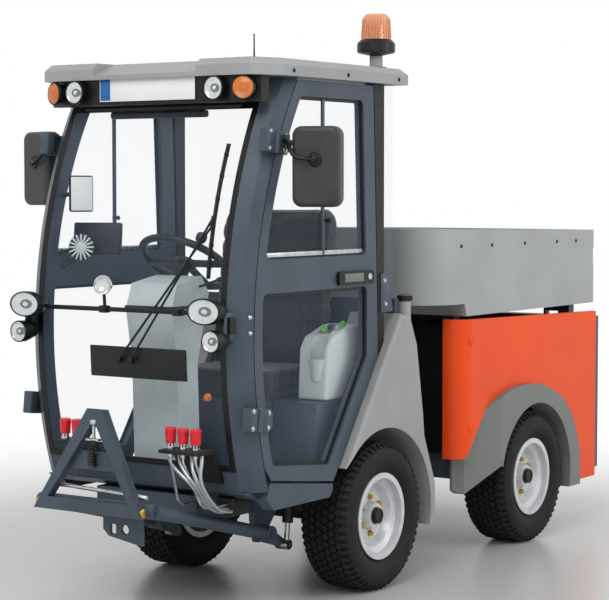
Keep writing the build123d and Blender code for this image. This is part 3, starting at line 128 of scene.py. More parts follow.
finishes = {
    # powder-coated steel: satin, faint orange peel about 3 mm apart, drawn coarse to show
    "slatePowderCoat": dict(dark="#39434e", light="#46515e", rough=(0.36, 0.46),
                            grainMm=3, relief=0.06, patchMm=180, specular=0.3, coat=0.08, coatRough=0.3),
    # structural-foam moulding: even grey, fine spark-eroded grain
    "greyMoulding": dict(dark="#929495", light="#9c9e9f", rough=(0.45, 0.55),
                         grainMm=1.2, relief=0.12, patchMm=220),
    "archMoulding": dict(dark="#6d716d", light="#777b77", rough=(0.42, 0.52),
                         grainMm=1.2, relief=0.12, patchMm=220),
    # pigmented gloss panel: clear top layer, very slight waviness
    "orangeGlossPanel": dict(dark="#ea4a12", light="#f25316", rough=(0.4, 0.48),
                             grainMm=6, relief=0.02, patchMm=320, specular=0.2, coat=0.06, coatRough=0.06),
    # powder-coated tub sheet
    "tubPowderCoat": dict(dark="#9a9d9e", light="#a5a8a9", rough=(0.4, 0.5),
                          grainMm=3, relief=0.05, patchMm=260, coat=0.08, coatRough=0.3),
    # wheel enamel with aluminium flake
    "silverWheelEnamel": dict(dark="#c3c5c8", light="#d6d8db", rough=(0.3, 0.42),
                              grainMm=1.5, relief=0.04, patchMm=60, metal=0.3, coat=0.2),
    # vulcanised rubber: near black, dull, dusty in patches
    "tyreRubber": dict(dark="#131313", light="#1f1f20", rough=(0.6, 0.8),
                       grainMm=1.0, relief=0.2, patchMm=35, specular=0.25),
    "hoseRubber": dict(dark="#121213", light="#1b1b1c", rough=(0.5, 0.65),
                       grainMm=1.5, relief=0.15, patchMm=40),
    # moulded black plastic: satin, fine grain
    "blackMoulding": dict(dark="#0c0d0e", light="#141517", rough=(0.34, 0.46),
                          grainMm=1.2, relief=0.12, patchMm=90, specular=0.28),
    # black panel under a clear coat
    "glossBlack": dict(dark="#0b0c0d", light="#101112", rough=(0.12, 0.2),
                       grainMm=4, relief=0.02, patchMm=200, coat=0.6, coatRough=0.05),
    # grained mouldings in other tones
    "mirrorMoulding": dict(dark="#343436", light="#3e3e41", rough=(0.4, 0.5),
                           grainMm=1.2, relief=0.12, patchMm=90, specular=0.3),
    "paleConsole": dict(dark="#c6cfd0", light="#d2dbdc", rough=(0.45, 0.55),
                        grainMm=1.2, relief=0.12, patchMm=120),
    # black paint on steel, uneven in gloss
    "blackSteelPaint": dict(dark="#121314", light="#1c1d1e", rough=(0.4, 0.6),
                            grainMm=2, relief=0.1, patchMm=70, specular=0.3),
    # pale moulding of the steering column
    "greyColumn": dict(dark="#b4bfc0", light="#c2cdce", rough=(0.45, 0.55),
                       grainMm=1.2, relief=0.12, patchMm=120),
    # hose in a bright wire braid
    "braidedHose": dict(dark="#8f9496", light="#c3c8ca", rough=(0.3, 0.42),
                        grainMm=2.5, relief=0.5, patchMm=5, metal=0.7),
    # painted castings: coarse grain from the mould
    "castIronPaint": dict(dark="#2c2d2d", light="#3b3c3c", rough=(0.55, 0.7),
                          grainMm=2, relief=0.3, patchMm=60),
    # zinc-plated steel: bright, in soft patches
    "zincPlate": dict(dark="#a9adb0", light="#c6cacc", rough=(0.22, 0.36),
                      grainMm=2, relief=0.03, patchMm=40, metal=1.0),
    "yellowZinc": dict(dark="#b8994a", light="#d0b566", rough=(0.28, 0.4),
                       grainMm=1.5, relief=0.04, patchMm=20, metal=1.0),
    # dyed plastic, plate sheet, then silvered and chromed faces
    "redCap": dict(dark="#d01420", light="#e22430", rough=(0.3, 0.42), grainMm=1.5, relief=0.05, patchMm=30),
    "greenGrip": dict(dark="#63b32f", light="#74c63c", rough=(0.4, 0.5), grainMm=1.2, relief=0.1, patchMm=30),
    "plateWhite": dict(dark="#e4e6e6", light="#eceeee", rough=(0.3, 0.38),
                       grainMm=2, relief=0.02, patchMm=200),
    "plateBlue": dict(dark="#135a98", light="#1a66a6", rough=(0.3, 0.38), grainMm=2, relief=0.02, patchMm=60),
    "mirrorSilver": dict(dark="#c8ccce", light="#d2d6d8", rough=(0.03, 0.05),
                         grainMm=8, relief=0.0, patchMm=200, metal=1.0),
    "lampChrome": dict(dark="#d4d7d9", light="#e2e5e6", rough=(0.06, 0.12),
                       grainMm=8, relief=0.01, patchMm=50, metal=1.0),
}
paint = {name: coatedSurface(name, look) for name, look in finishes.items()}
panes = {
    "tintedSafetyGlass": dict(colour="#b8cdea", alpha=0.028, rough=(0.01, 0.02), ior=1.52, patchMm=400,
                              specular=0.3),
    "clearLens": dict(colour="#dfe4e6", alpha=0.12, rough=(0.02, 0.05), ior=1.49, patchMm=40, specular=0.6),
    "amberLens": dict(colour="#e8800c", alpha=0.55, rough=(0.05, 0.12), ior=1.49, patchMm=30, specular=0.7),
    "redLens": dict(colour="#b3121a", alpha=0.9, rough=(0.05, 0.12), ior=1.49, patchMm=30, specular=0.7),
}
paint.update({name: clearSurface(name, look) for name, look in panes.items()})


# woven seat cloth: warp and weft drawn coarse to show, soft sheen
def wovenCloth(name, look):
    material, tree, shader = newMaterial(name)
    coords = addNode(tree, "ShaderNodeTexCoord", {})
    thread = 1000 / look["threadMm"] / 6.28
    warp = addNode(tree, "ShaderNodeTexWave", {"bands_direction": "X", "Scale": thread},
                   {"Vector": (coords, "Object")})
    weft = addNode(tree, "ShaderNodeTexWave", {"bands_direction": "DIAGONAL", "Scale": thread},
                   {"Vector": (coords, "Object")})
    weave = addNode(tree, "ShaderNodeMath", {"operation": "MULTIPLY"}, {0: (warp, "Fac"), 1: (weft, "Fac")})
    ramp = addNode(tree, "ShaderNodeValToRGB", {}, {"Fac": (weave, "Value")})
    ramp.color_ramp.elements[0].color = linear(look["dark"])
    ramp.color_ramp.elements[1].color = linear(look["light"])
    relief = addNode(tree, "ShaderNodeBump", {"Strength": 0.4, "Distance": 0.001}, {"Height": (weave, "Value")})
    tree.links.new(ramp.outputs["Color"], shader.inputs["Base Color"])
    tree.links.new(relief.outputs["Normal"], shader.inputs["Normal"])
    shader.inputs["Roughness"].default_value = 0.85
    shader.inputs["Sheen Weight"].default_value = 0.3
    return material


paint["seatCloth"] = wovenCloth("seatCloth", {"dark": "#17171a", "light": "#26272b", "threadMm": 4})
print("materials made:", len(paint))


def dress(piece, finish):
    piece.data.materials.clear()
    piece.data.materials.append(paint[finish])


solidFinish = {
    "mirrorMoulding": ["mirror_left", "mirror_right"],
    "slatePowderCoat": ["front_frame", "cab_floor", "cab_corner_posts", "cab_cross_beams", "cab_rear_wall",
                        "seat_box", "rear_frame", "rear_uprights", "rear_panel", "door_left", "door_right",
                        "lift_arms", "coupling_triangle"],
    "greyMoulding": ["roof", "front_wings"],
    "archMoulding": ["rear_arches"],
    "orangeGlossPanel": ["side_panels"],
    "tubPowderCoat": ["load_tub"],
    "silverWheelEnamel": ["rim_front_left", "rim_front_right", "rim_rear_left", "rim_rear_right"],
    "tyreRubber": ["tyre_front_left", "tyre_front_right", "tyre_rear_left", "tyre_rear_right"],
    "tintedSafetyGlass": ["windscreen", "rear_window", "door_glass_left", "door_glass_right"],
    "greyColumn": ["steering_pedestal"],
    "blackMoulding": ["lamp_panel", "steering_wheel", "wiper", "beacon_base", "rear_bulkhead",
                      "door_handle_left", "door_handle_right", "roof_lamps", "lamp_clusters"],
    "blackSteelPaint": ["hydraulic_couplers", "cab_rear_posts", "valve_block", "front_axle", "rear_axle",
                        "lift_ram_barrels"],
    "paleConsole": ["side_console"],
    "seatCloth": ["seat_cushion", "seat_back"],
    "amberLens": ["beacon_dome"],
    "redLens": ["tail_lamps"],
    "castIronPaint": ["engine"],
    "zincPlate": ["steel_lines", "lift_ram_rods"],
}
for finish, names in solidFinish.items():
    for name in names:
        dress(nodes[name], finish)
print("solids dressed:", sum(len(names) for names in solidFinish.values()), "of", len(nodes))


def deselectAll():
    bpy.ops.object.select_all(action="DESELECT")


def pick(piece):  # the one piece that the next operators act on
    deselectAll()
    piece.select_set(True)
    bpy.context.view_layer.objects.active = piece


def joined(parts):  # all parts in the first one's mesh
    pick(parts[0])
    for part in parts[1:]:
        part.select_set(True)
    if len(parts) > 1:
        bpy.ops.object.join()
    return parts[0]


def settle(piece, name, finish, body, smooth=35):  # place into the mesh, dressed, carried by a body
    pick(piece)
    bpy.ops.object.transform_apply(location=True, rotation=True, scale=True)
    bpy.ops.object.shade_smooth_by_angle(angle=math.radians(smooth))
    piece.name = name
    dress(piece, finish)
    if body:
        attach(piece, body)
    return piece


def block(size, edge, segments=2):  # cube drawn out to size, its edges rounded
    deselectAll()
    bpy.ops.mesh.primitive_cube_add(size=1)
    piece = bpy.context.object
    piece.scale = Vector(size) / 1000
    bpy.ops.object.transform_apply(location=False, rotation=False, scale=True)
    bpy.ops.object.mode_set(mode="EDIT")
    bpy.ops.mesh.bevel(offset=edge / 1000, segments=segments, affect="EDGES")
    bpy.ops.object.mode_set(mode="OBJECT")
    return piece


def turned(profile, segments=32, ring=False):  # radius and height pairs in mm, each ring drawn from the last
    deselectAll()
    bpy.ops.mesh.primitive_circle_add(vertices=segments, radius=profile[0][0] / 1000,
                                      fill_type="NOTHING" if ring else "NGON")
    piece = bpy.context.object
    bpy.ops.object.mode_set(mode="EDIT")
    bpy.ops.transform.translate(value=(0, 0, profile[0][1] / 1000))
    for (wide, low), (narrow, high) in zip(profile, profile[1:]):
        bpy.ops.mesh.extrude_region_move(TRANSFORM_OT_translate={"value": (0, 0, (high - low) / 1000)})
        share = narrow / wide
        bpy.ops.transform.resize(value=(share, share, 1), center_override=(0, 0, high / 1000))
    if ring:
        bpy.ops.mesh.select_all(action="DESELECT")
        bpy.ops.mesh.select_non_manifold()
        bpy.ops.mesh.bridge_edge_loops()
    bpy.ops.mesh.select_all(action="SELECT")
    bpy.ops.mesh.normals_make_consistent(inside=False)
    bpy.ops.object.mode_set(mode="OBJECT")
    return piece


def stood(place, direction=(0, 0, 1)):  # a matrix that stands a piece at a place, its Z along a direction
    return Matrix.Translation(place) @ Vector(direction).to_track_quat("Z", "Y").to_matrix().to_4x4()


def copies(model, matrices, name, finish, body):  # copies of one modelled piece, each its own mesh, joined
    made = []
    for matrix in matrices:
        copy = bpy.data.objects.new(name, model.data.copy())
        copy.data.transform(matrix)
        bpy.context.collection.objects.link(copy)
        made.append(copy)
    bpy.data.objects.remove(model)
    return settle(joined(made), name, finish, body)


def onSkin(node, place, direction):  # where a straight line meets a solid, and the way its face looks
    found, point, normal, _ = nodes[node].ray_cast(place, Vector(direction))
    if not found:
        raise ValueError(f"no skin of {node} at {tuple(place)}")
    return point, normal


def skinStands(node, side, places):  # stands on a solid's left or right skin, from places in Y and Z
    meets = [onSkin(node, spot(side * 900, y, z), (-side, 0, 0)) for y, z in places]
    return [stood(point, normal) for point, normal in meets]


def tube(points, radius):  # smooth hose or wire through a few control points
    curve = bpy.data.curves.new("run", "CURVE")
    curve.dimensions = "3D"
    curve.bevel_depth = radius / 1000
    curve.bevel_resolution = 3
    curve.resolution_u = 10
    curve.use_fill_caps = True
    spline = curve.splines.new("NURBS")
    spline.points.add(len(points) - 1)
    for point, place in zip(spline.points, points):
        point.co = (*place, 1)
    spline.order_u = 3
    spline.use_endpoint_u = True
    piece = bpy.data.objects.new("run", curve)
    bpy.context.collection.objects.link(piece)
    pick(piece)
    bpy.ops.object.convert(target="MESH")
    return bpy.context.object


# tyres: smooth carcass, six rows of staggered blocks and shoulder lugs
tyre = {"blocks": 56, "blockSize": (25, 24, 15), "slant": 33, "tread": 284.4,
        "rows": (-70, -42, -14, 14, 42, 70),
        "lugSize": (26, 17, 16), "lugAt": 92, "lugTread": 273, "lugLean": 38}
halfCarcass = ((274, 0), (273, 62), (269, 86), (260, 99), (247, 104), (228, 106.5), (212, 106), (196, 101),
               (183, 93), (174, 85))  # radius and distance from the middle plane
carcassRings = [(r, -x) for r, x in reversed(halfCarcass)] + list(halfCarcass[1:]) + [(153, 84), (153, -84)]
carcass = turned(carcassRings, 96, ring=True)
carcass.data.transform(Matrix.Rotation(math.radians(90), 4, "Y"))
deselectAll()
bpy.ops.object.empty_add(location=(0, 0, 0))
stepTurn = bpy.context.object
stepTurn.rotation_euler = (2 * math.pi / tyre["blocks"], 0, 0)
rings = []
rowTable = [(x, tyre["tread"], tyre["blockSize"], tyre["slant"] * (-1) ** i, 0, 0.5 * (i % 2))
            for i, x in enumerate(tyre["rows"])]  # X, radius, size, slant, lean, share of a step
for side in (1, -1):
    rowTable.append((side * tyre["lugAt"], tyre["lugTread"], tyre["lugSize"], 0, side * tyre["lugLean"],
                     0.25 + 0.25 * side))
for rowX, top, size, slant, lean, shift in rowTable:
    lug = block(size, 2.2, 1)
    lug.data.transform(Matrix.Rotation(math.radians(slant), 4, "Z"))
    lug.data.transform(Matrix.Translation((0, 0, -size[2] / 2000)))
    lug.data.transform(Matrix.Rotation(math.radians(lean), 4, "Y"))
    lug.data.transform(Matrix.Translation((rowX / 1000, 0, top / 1000)))
    lug.data.transform(Matrix.Rotation(shift * stepTurn.rotation_euler.x, 4, "X"))
    array = lug.modifiers.new("round", "ARRAY")
    array.use_relative_offset = False
    array.use_object_offset = True
    array.offset_object = stepTurn
    array.count = tyre["blocks"]
    bpy.context.view_layer.objects.active = lug
    bpy.ops.object.modifier_apply(modifier="round")
    rings.append(lug)
bpy.data.objects.remove(stepTurn)
joined([carcass] + rings)
wheels = {"halfTrack": 427, "axles": (("front", 0), ("rear", 1239)), "height": 285}
corners = []
wheelCentre = {}
for axle, back in wheels["axles"]:
    for side, hand in sides:
        corners.append((f"{axle}_{hand}", side))
        wheelCentre[f"{axle}_{hand}"] = spot(side * wheels["halfTrack"], back, wheels["height"])
for corner, side in corners:
    outward = Matrix.Translation(wheelCentre[corner]) @ Matrix.Rotation(0 if side > 0 else math.pi, 4, "Z")
    piece = bpy.data.objects.new("tyre", carcass.data.copy())
    piece.data.transform(outward)
    bpy.context.collection.objects.link(piece)
    settle(piece, f"tyreTread.{corner}", "tyreRubber", f"wheel_{corner}", 30)
    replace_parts(piece, f"tyre_{corner}")
bpy.data.objects.remove(carcass)
print("tyres done")

# wheel nuts on their washers, and the black hub cap
hub = {"nutCircle": 71, "nuts": 6, "discFace": 36, "capFace": 64, "capRadius": 31}
for corner, side in corners:
    out = Vector((side, 0, 0))
    ring = []
    for i in range(hub["nuts"]):
        angle = math.radians(90 + 360 / hub["nuts"] * i)
        arm = Vector((0, math.cos(angle), math.sin(angle))) * hub["nutCircle"] / 1000
        ring.append(stood(wheelCentre[corner] + arm + out * hub["discFace"] / 1000, out))
    washer = turned([(13, -1), (13, 2), (9.5, 2.2)], 20)
    copies(washer, ring, f"wheelWashers.{corner}", "yellowZinc", f"wheel_{corner}")
    nut = turned([(9.5, 1), (10.5, 3), (10.5, 11), (9, 13), (6, 13), (6, 17), (4.5, 18)], 6)
    copies(nut, ring, f"wheelNuts.{corner}", "yellowZinc", f"wheel_{corner}")
    rim = hub["capRadius"]
    cap = turned([(rim + 2, -2), (rim + 2, 3), (rim, 5), (rim - 1, 15), (rim - 4, 18), (rim - 8, 18),
                  (rim - 9, 15), (8, 15), (6, 17)], 40)
    capStand = stood(wheelCentre[corner] + out * hub["capFace"] / 1000, out)
    copies(cap, [capStand], f"hubCap.{corner}", "blackMoulding", f"wheel_{corner}")
print("hubs done")


# rubber seals: the pane's outer face is copied, inset, its middle taken out and the rim thickened
def sealRing(node, facing, width, lift, name, body):
    piece = bpy.data.objects.new(name, nodes[node].data.copy())
    bpy.context.collection.objects.link(piece)
    pick(piece)
    bpy.ops.object.mode_set(mode="EDIT")
    bpy.ops.mesh.select_mode(type="FACE")
    bpy.ops.mesh.select_all(action="SELECT")
    bpy.ops.mesh.remove_doubles(threshold=0.00002)
    bpy.ops.object.mode_set(mode="OBJECT")
    for face in piece.data.polygons:
        face.select = face.normal.dot(Vector(facing)) < 0.6
    bpy.ops.object.mode_set(mode="EDIT")
    bpy.ops.mesh.delete(type="FACE")
    bpy.ops.mesh.select_all(action="SELECT")
    bpy.ops.mesh.dissolve_limited(angle_limit=math.radians(0.5))
    bpy.ops.mesh.inset(thickness=width / 1000, depth=0, use_boundary=True)
    bpy.ops.mesh.delete(type="FACE")
    bpy.ops.mesh.select_all(action="SELECT")
    bpy.ops.mesh.extrude_region_shrink_fatten(TRANSFORM_OT_shrink_fatten={"value": lift / 1000})
    bpy.ops.mesh.select_all(action="SELECT")
    bpy.ops.mesh.normals_make_consistent(inside=False)
    bpy.ops.mesh.select_mode(type="VERT")
    bpy.ops.object.mode_set(mode="OBJECT")
    return settle(piece, name, "blackMoulding", body)


sealTable = (  # pane, the way it faces, width and lift in mm, body
    ("windscreen", (0, -1, 0), 24, 1.5, "front_section"),
    ("door_glass_left", (1, 0, 0), 12, 4, "door_left"),
    ("door_glass_right", (-1, 0, 0), 12, 4, "door_right"),
)
for node, facing, width, lift, body in sealTable:
    sealRing(node, facing, width, lift, f"seal.{node}", body)
print("seals done")

# lamps: black bezel, silvered bowl and a domed lens, on the face of each lamp body
headerLean = math.radians(18)
lampTable = (  # name, X, Y, Z, half width, half height, sideways turn, lens
    ("headlamp", 408, -972, 1115, 67, 43.5, 0, "clearLens"),
    ("roundLamp", 438, -972, 1014, 37, 37, 0, "clearLens"),
    ("workLamp", 318, -792, 1887, 40, 40, 0, "clearLens"),
    ("roofIndicator", 424 + 22 * math.sin(headerLean), -752.5 - 22 * math.cos(headerLean), 1887, 40, 40,
     headerLean, "amberLens"),
)
lampRings = {  # each ring's share of the half width, and its height in mm
    "Bezels": ((1, -3), (1.07, -1), (1.07, 9), (1.03, 12), (0.96, 12), (0.94, 8)),
    "Bowls": ((0.95, 0.5), (0.95, 9), (0.88, 7), (0.7, 4), (0.45, 2), (0.3, 1.5), (0.22, 1.5), (0.2, 6),
              (0.1, 8.5)),
    "Shields": ((0.36, 1.5), (0.4, 3), (0.34, 8), (0.3, 8.6), (0.26, 5), (0.22, 4.5)),
    "Lenses": ((0.95, 9.5), (0.95, 12), (0.86, 14.5), (0.66, 17), (0.4, 19), (0.15, 20)),
}
lampFinish = {"Bezels": "blackMoulding", "Bowls": "lampChrome", "Shields": "glossBlack"}
for name, x, y, z, wide, high, turn, lens in lampTable:
    oval = Matrix.Diagonal((1, high / wide, 1, 1))
    stands = [stood(spot(side * x, y, z), (side * math.sin(turn), -math.cos(turn), 0)) @ oval
              for side in (1, -1)]
    for layer, rings in lampRings.items():
        model = turned([(share * wide, height) for share, height in rings], 32 if layer == "Shields" else 48,
                       ring=layer == "Bezels")
        copies(model, stands, name + layer, lampFinish.get(layer, lens), "front_section")
for side, hand in sides:
    arm = block((9, 118, 96), 3)
    arm.data.transform(Matrix.Rotation(math.radians(-8), 4, "X"))
    arm.location = spot(side * 452, -868, 1058)
    settle(arm, f"lampArm.{hand}", "slatePowderCoat", "front_section")
print("lamps done")

# blank number plate with a plain blue end, held on the lamp panel
board = {"size": (436, 4, 84), "place": (0, -774, 1893), "blue": 46}
plate = block(board["size"], 1.5)
plate.location = spot(*board["place"])
settle(plate, "numberPlate", "plateWhite", "front_section")
band = block((board["blue"], 1.6, board["size"][2] - 8), 0.7)
boardX, boardY, boardZ = board["place"]
band.location = spot(boardX - board["size"][0] / 2 + board["blue"] / 2 + 4, boardY - 2.4, boardZ)
settle(band, "numberPlateBand", "plateBlue", "front_section")

# coupler caps: soft red cups, wider at the top, on their nuts, with line unions under the left bank
banks = ((225, 280, 335), (-259.5, -204.5))
cup = turned([(17.5, 647), (18, 649), (18.4, 660), (20.5, 690), (20.5, 697), (18, 701), (10, 702.5)], 28)
couplerStands = [Matrix.Translation(spot(x, -930, 0)) for bank in banks for x in bank]
copies(cup, couplerStands, "couplerCaps", "redCap", "front_section")
collar = turned([(14, 623), (15.5, 626), (15.5, 634), (13.5, 636), (13.5, 647)], 6)
copies(collar, couplerStands, "couplerNuts", "zincPlate", "front_section")
union = turned([(9, 596), (10.5, 598), (10.5, 610), (9, 612)], 6)
copies(union, couplerStands[:len(banks[0])], "lineUnions", "zincPlate", "front_section")
print("couplers done")

# fuel filler cap with finger ribs
filler = {"place": spot(505, 187, 1100), "ribs": 18, "ribOut": 0.0285, "ribRise": 0.012}  # ribs in m
lid = turned([(27, 0), (28.6, 1), (28.6, 22), (26, 26), (17, 26.4), (16, 25), (6, 25)], 36)
lidStand = Matrix.Translation(filler["place"])
copies(lid, [lidStand], "fillerLid", "blackMoulding", "front_section")
rib = block((4, 4, 17), 1.2)
ribStep = 2 * math.pi / filler["ribs"]
ribOut = Matrix.Translation((filler["ribOut"], 0, filler["ribRise"]))
ribs = [lidStand @ Matrix.Rotation(ribStep * i, 4, "Z") @ ribOut for i in range(filler["ribs"])]
copies(rib, ribs, "fillerLidRibs", "blackMoulding", "front_section")

# aerial on the roof
whip = turned([(9, 0), (9, 3), (6, 7), (3.2, 10), (2.6, 45), (2.4, 80), (3.4, 82), (3.4, 86)], 16)
copies(whip, [Matrix.Translation(spot(400, -669, 1992.5))], "aerial", "blackMoulding", "front_section")

# screws, bolts and quarter-turn fasteners, each set on the skin it holds
domeHead = [(8, -1.5), (8, 0.8), (7, 2.6), (4.5, 4), (3.4, 4), (3, 2.4)]
hexHead = [(10.5, -1), (10.5, 1.2), (8.4, 1.4), (8.4, 5.8), (7.2, 7)]
twist = [(21, -1), (21, 0.8), (18.5, 2.4), (16, 2.2), (14.5, 0.6), (8.5, 0.4), (7.5, 1.9), (3, 1.9)]
roofPlaces = [(y, 1950) for y in (-609, -256, 100)]
tubPlaces = [(y, 1300) for y in (640, 900, 1195, 1500, 1690)]
panelPlaces = ((705, 910), (705, 552))
postPlaces = ((-824, 1090), (-824, 1035))
fastenerTable = (  # name, profile, corners, solid, body, finish, places in Y and Z
    ("roofScrews", domeHead, 20, "roof", "front_section", "blackMoulding", roofPlaces),
    ("tubBolts", domeHead, 20, "load_tub", "tub", "blackMoulding", tubPlaces),
    ("panelFasteners", twist, 28, "side_panels", "rear_section", "orangeGlossPanel", panelPlaces),
    ("postBolts", domeHead, 20, "cab_corner_posts", "front_section", "zincPlate", postPlaces),
)
for name, profile, segments, node, body, finish, places in fastenerTable:
    for side, hand in sides:
        copies(turned(profile, segments), skinStands(node, side, places), f"{name}.{hand}", finish, body)
for side, hand in sides:
    stands = skinStands(f"door_{hand}", side, ((-772, 762), (-768, 700), (-640, 1722), (-648, 1672)))
    copies(turned(hexHead, 6), stands, f"hingeBolts.{hand}", "zincPlate", f"door_{hand}")
print("fasteners done")

# door details: divider, lower track and catch of the sliding pane, mirror glass, handle pull and lock
for side, hand in sides:
    upright = block((9, 16, 566), 2)
    upright.location = spot(side * 489.5, -367, 1576)
    settle(upright, f"paneDivider.{hand}", "slatePowderCoat", f"door_{hand}")
    track = block((8, 632, 16), 2)
    track.location = spot(side * 489.5, -412, 1302)
    settle(track, f"paneTrack.{hand}", "zincPlate", f"door_{hand}")
    knob = turned([(9, 0), (9, 4), (6, 6), (6, 14), (11, 18), (11, 24), (8, 26)], 20)
    catchStand = stood(spot(side * 487, -345, 1420), (side, 0, 0))
    copies(knob, [catchStand], f"paneCatch.{hand}", "blackMoulding", f"door_{hand}")
    mirrorTurn = math.radians(16)
    pane = block((150, 3, 250), 1.2)
    backward = Vector((-side * math.sin(mirrorTurn), math.cos(mirrorTurn), 0))
    pane.rotation_euler = (0, 0, side * mirrorTurn)
    pane.location = spot(side * 640, -628, 1612) + backward * 0.0275
    settle(pane, f"mirrorPane.{hand}", "mirrorSilver", f"door_{hand}")
    pull = block((7, 128, 32), 3)
    pull.location = spot(side * 514, -192, 1205)
    settle(pull, f"handlePull.{hand}", "archMoulding", f"door_{hand}")
    lock = turned([(13, -1), (13, 2), (11, 4), (5, 4.5)], 24)
    lockStand = stood(spot(side * 514, -82, 1205), (side, 0, 0))
    copies(lock, [lockStand], f"handleLock.{hand}", "zincPlate", f"door_{hand}")
print("door details done")

# coupling triangle: tool hook, its spring, and the lever rod behind the legs
hook = {"x": 0, "y": -1090, "springLow": 566, "springHigh": 652, "springRadius": 13, "wire": 3.2, "turns": 9}
stem = turned([(5, 640), (6, 642), (6, 706), (9, 709), (13, 714), (14, 720), (12, 727), (6, 731)], 20)
copies(stem, [Matrix.Translation(spot(hook["x"], hook["y"] + 12, 0))], "hookStem", "zincPlate", "front_lift")
yokePlate = block((58, 20, 9), 2.5)
yokePlate.location = spot(hook["x"], hook["y"] + 10, 658)
settle(yokePlate, "hookPlate", "zincPlate", "front_lift")
deselectAll()
bpy.ops.mesh.primitive_circle_add(vertices=10, radius=hook["wire"] / 1000, rotation=(math.radians(90), 0, 0),
                                  location=(hook["springRadius"] / 1000, 0, 0))
spring = bpy.context.object
bpy.ops.object.transform_apply(location=True, rotation=True, scale=True)
coil = spring.modifiers.new("coil", "SCREW")
coil.axis = "Z"
coil.angle = 2 * math.pi * hook["turns"]
coil.screw_offset = (hook["springHigh"] - hook["springLow"]) / 1000
coil.steps = coil.render_steps = 20 * hook["turns"]
coil.use_merge_vertices = False
bpy.ops.object.modifier_apply(modifier="coil")
bpy.ops.object.mode_set(mode="EDIT")
bpy.ops.mesh.select_all(action="SELECT")
bpy.ops.mesh.remove_doubles(threshold=0.00001)
bpy.ops.mesh.normals_make_consistent(inside=False)
bpy.ops.object.mode_set(mode="OBJECT")
spring.location = spot(hook["x"], hook["y"], hook["springLow"])
settle(spring, "hookSpring", "blackSteelPaint", "front_lift")
lever = turned([(5, -200), (7, -198), (7, 175), (9, 177), (9, 228), (7, 231)], 20)
copies(lever, [stood(spot(0, -1071, 480), (1, 0, -0.04))], "hookLever", "zincPlate", "front_lift")
pinEnd = turned([(10, -24), (12, -22), (12, 1), (17, 3), (17, 9), (13, 12), (5, 12)], 24)
pinStands = [stood(spot(side * 231, -1099, 421), (side, 0, 0)) for side in (1, -1)]
copies(pinEnd, pinStands, "footPins", "yellowZinc", "front_lift")
print("coupling done")

# hoses across the articulation, hung in short bows
hoseTable = ((-130, 640, 600, 14), (-75, 720, 690, 12), (-20, 650, 620, 14), (45, 740, 700, 11),
             (105, 670, 610, 14), (165, 720, 650, 12))  # X, front Z, rear Z, radius
for number, (x, frontZ, rearZ, radius) in enumerate(hoseTable):
    run = [spot(x, 150, frontZ), spot(x, 215, frontZ - 4), spot(x * 0.9, 300, frontZ - 95),
           spot(x * 0.9, 420, rearZ - 150), spot(x * 0.9, 540, rearZ - 95), spot(x, 620, rearZ - 6),
           spot(x, 684, rearZ)]
    piece = settle(tube(run, radius), f"linkHose.{number}", "hoseRubber", None)
    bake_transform(piece)
print("hoses done")

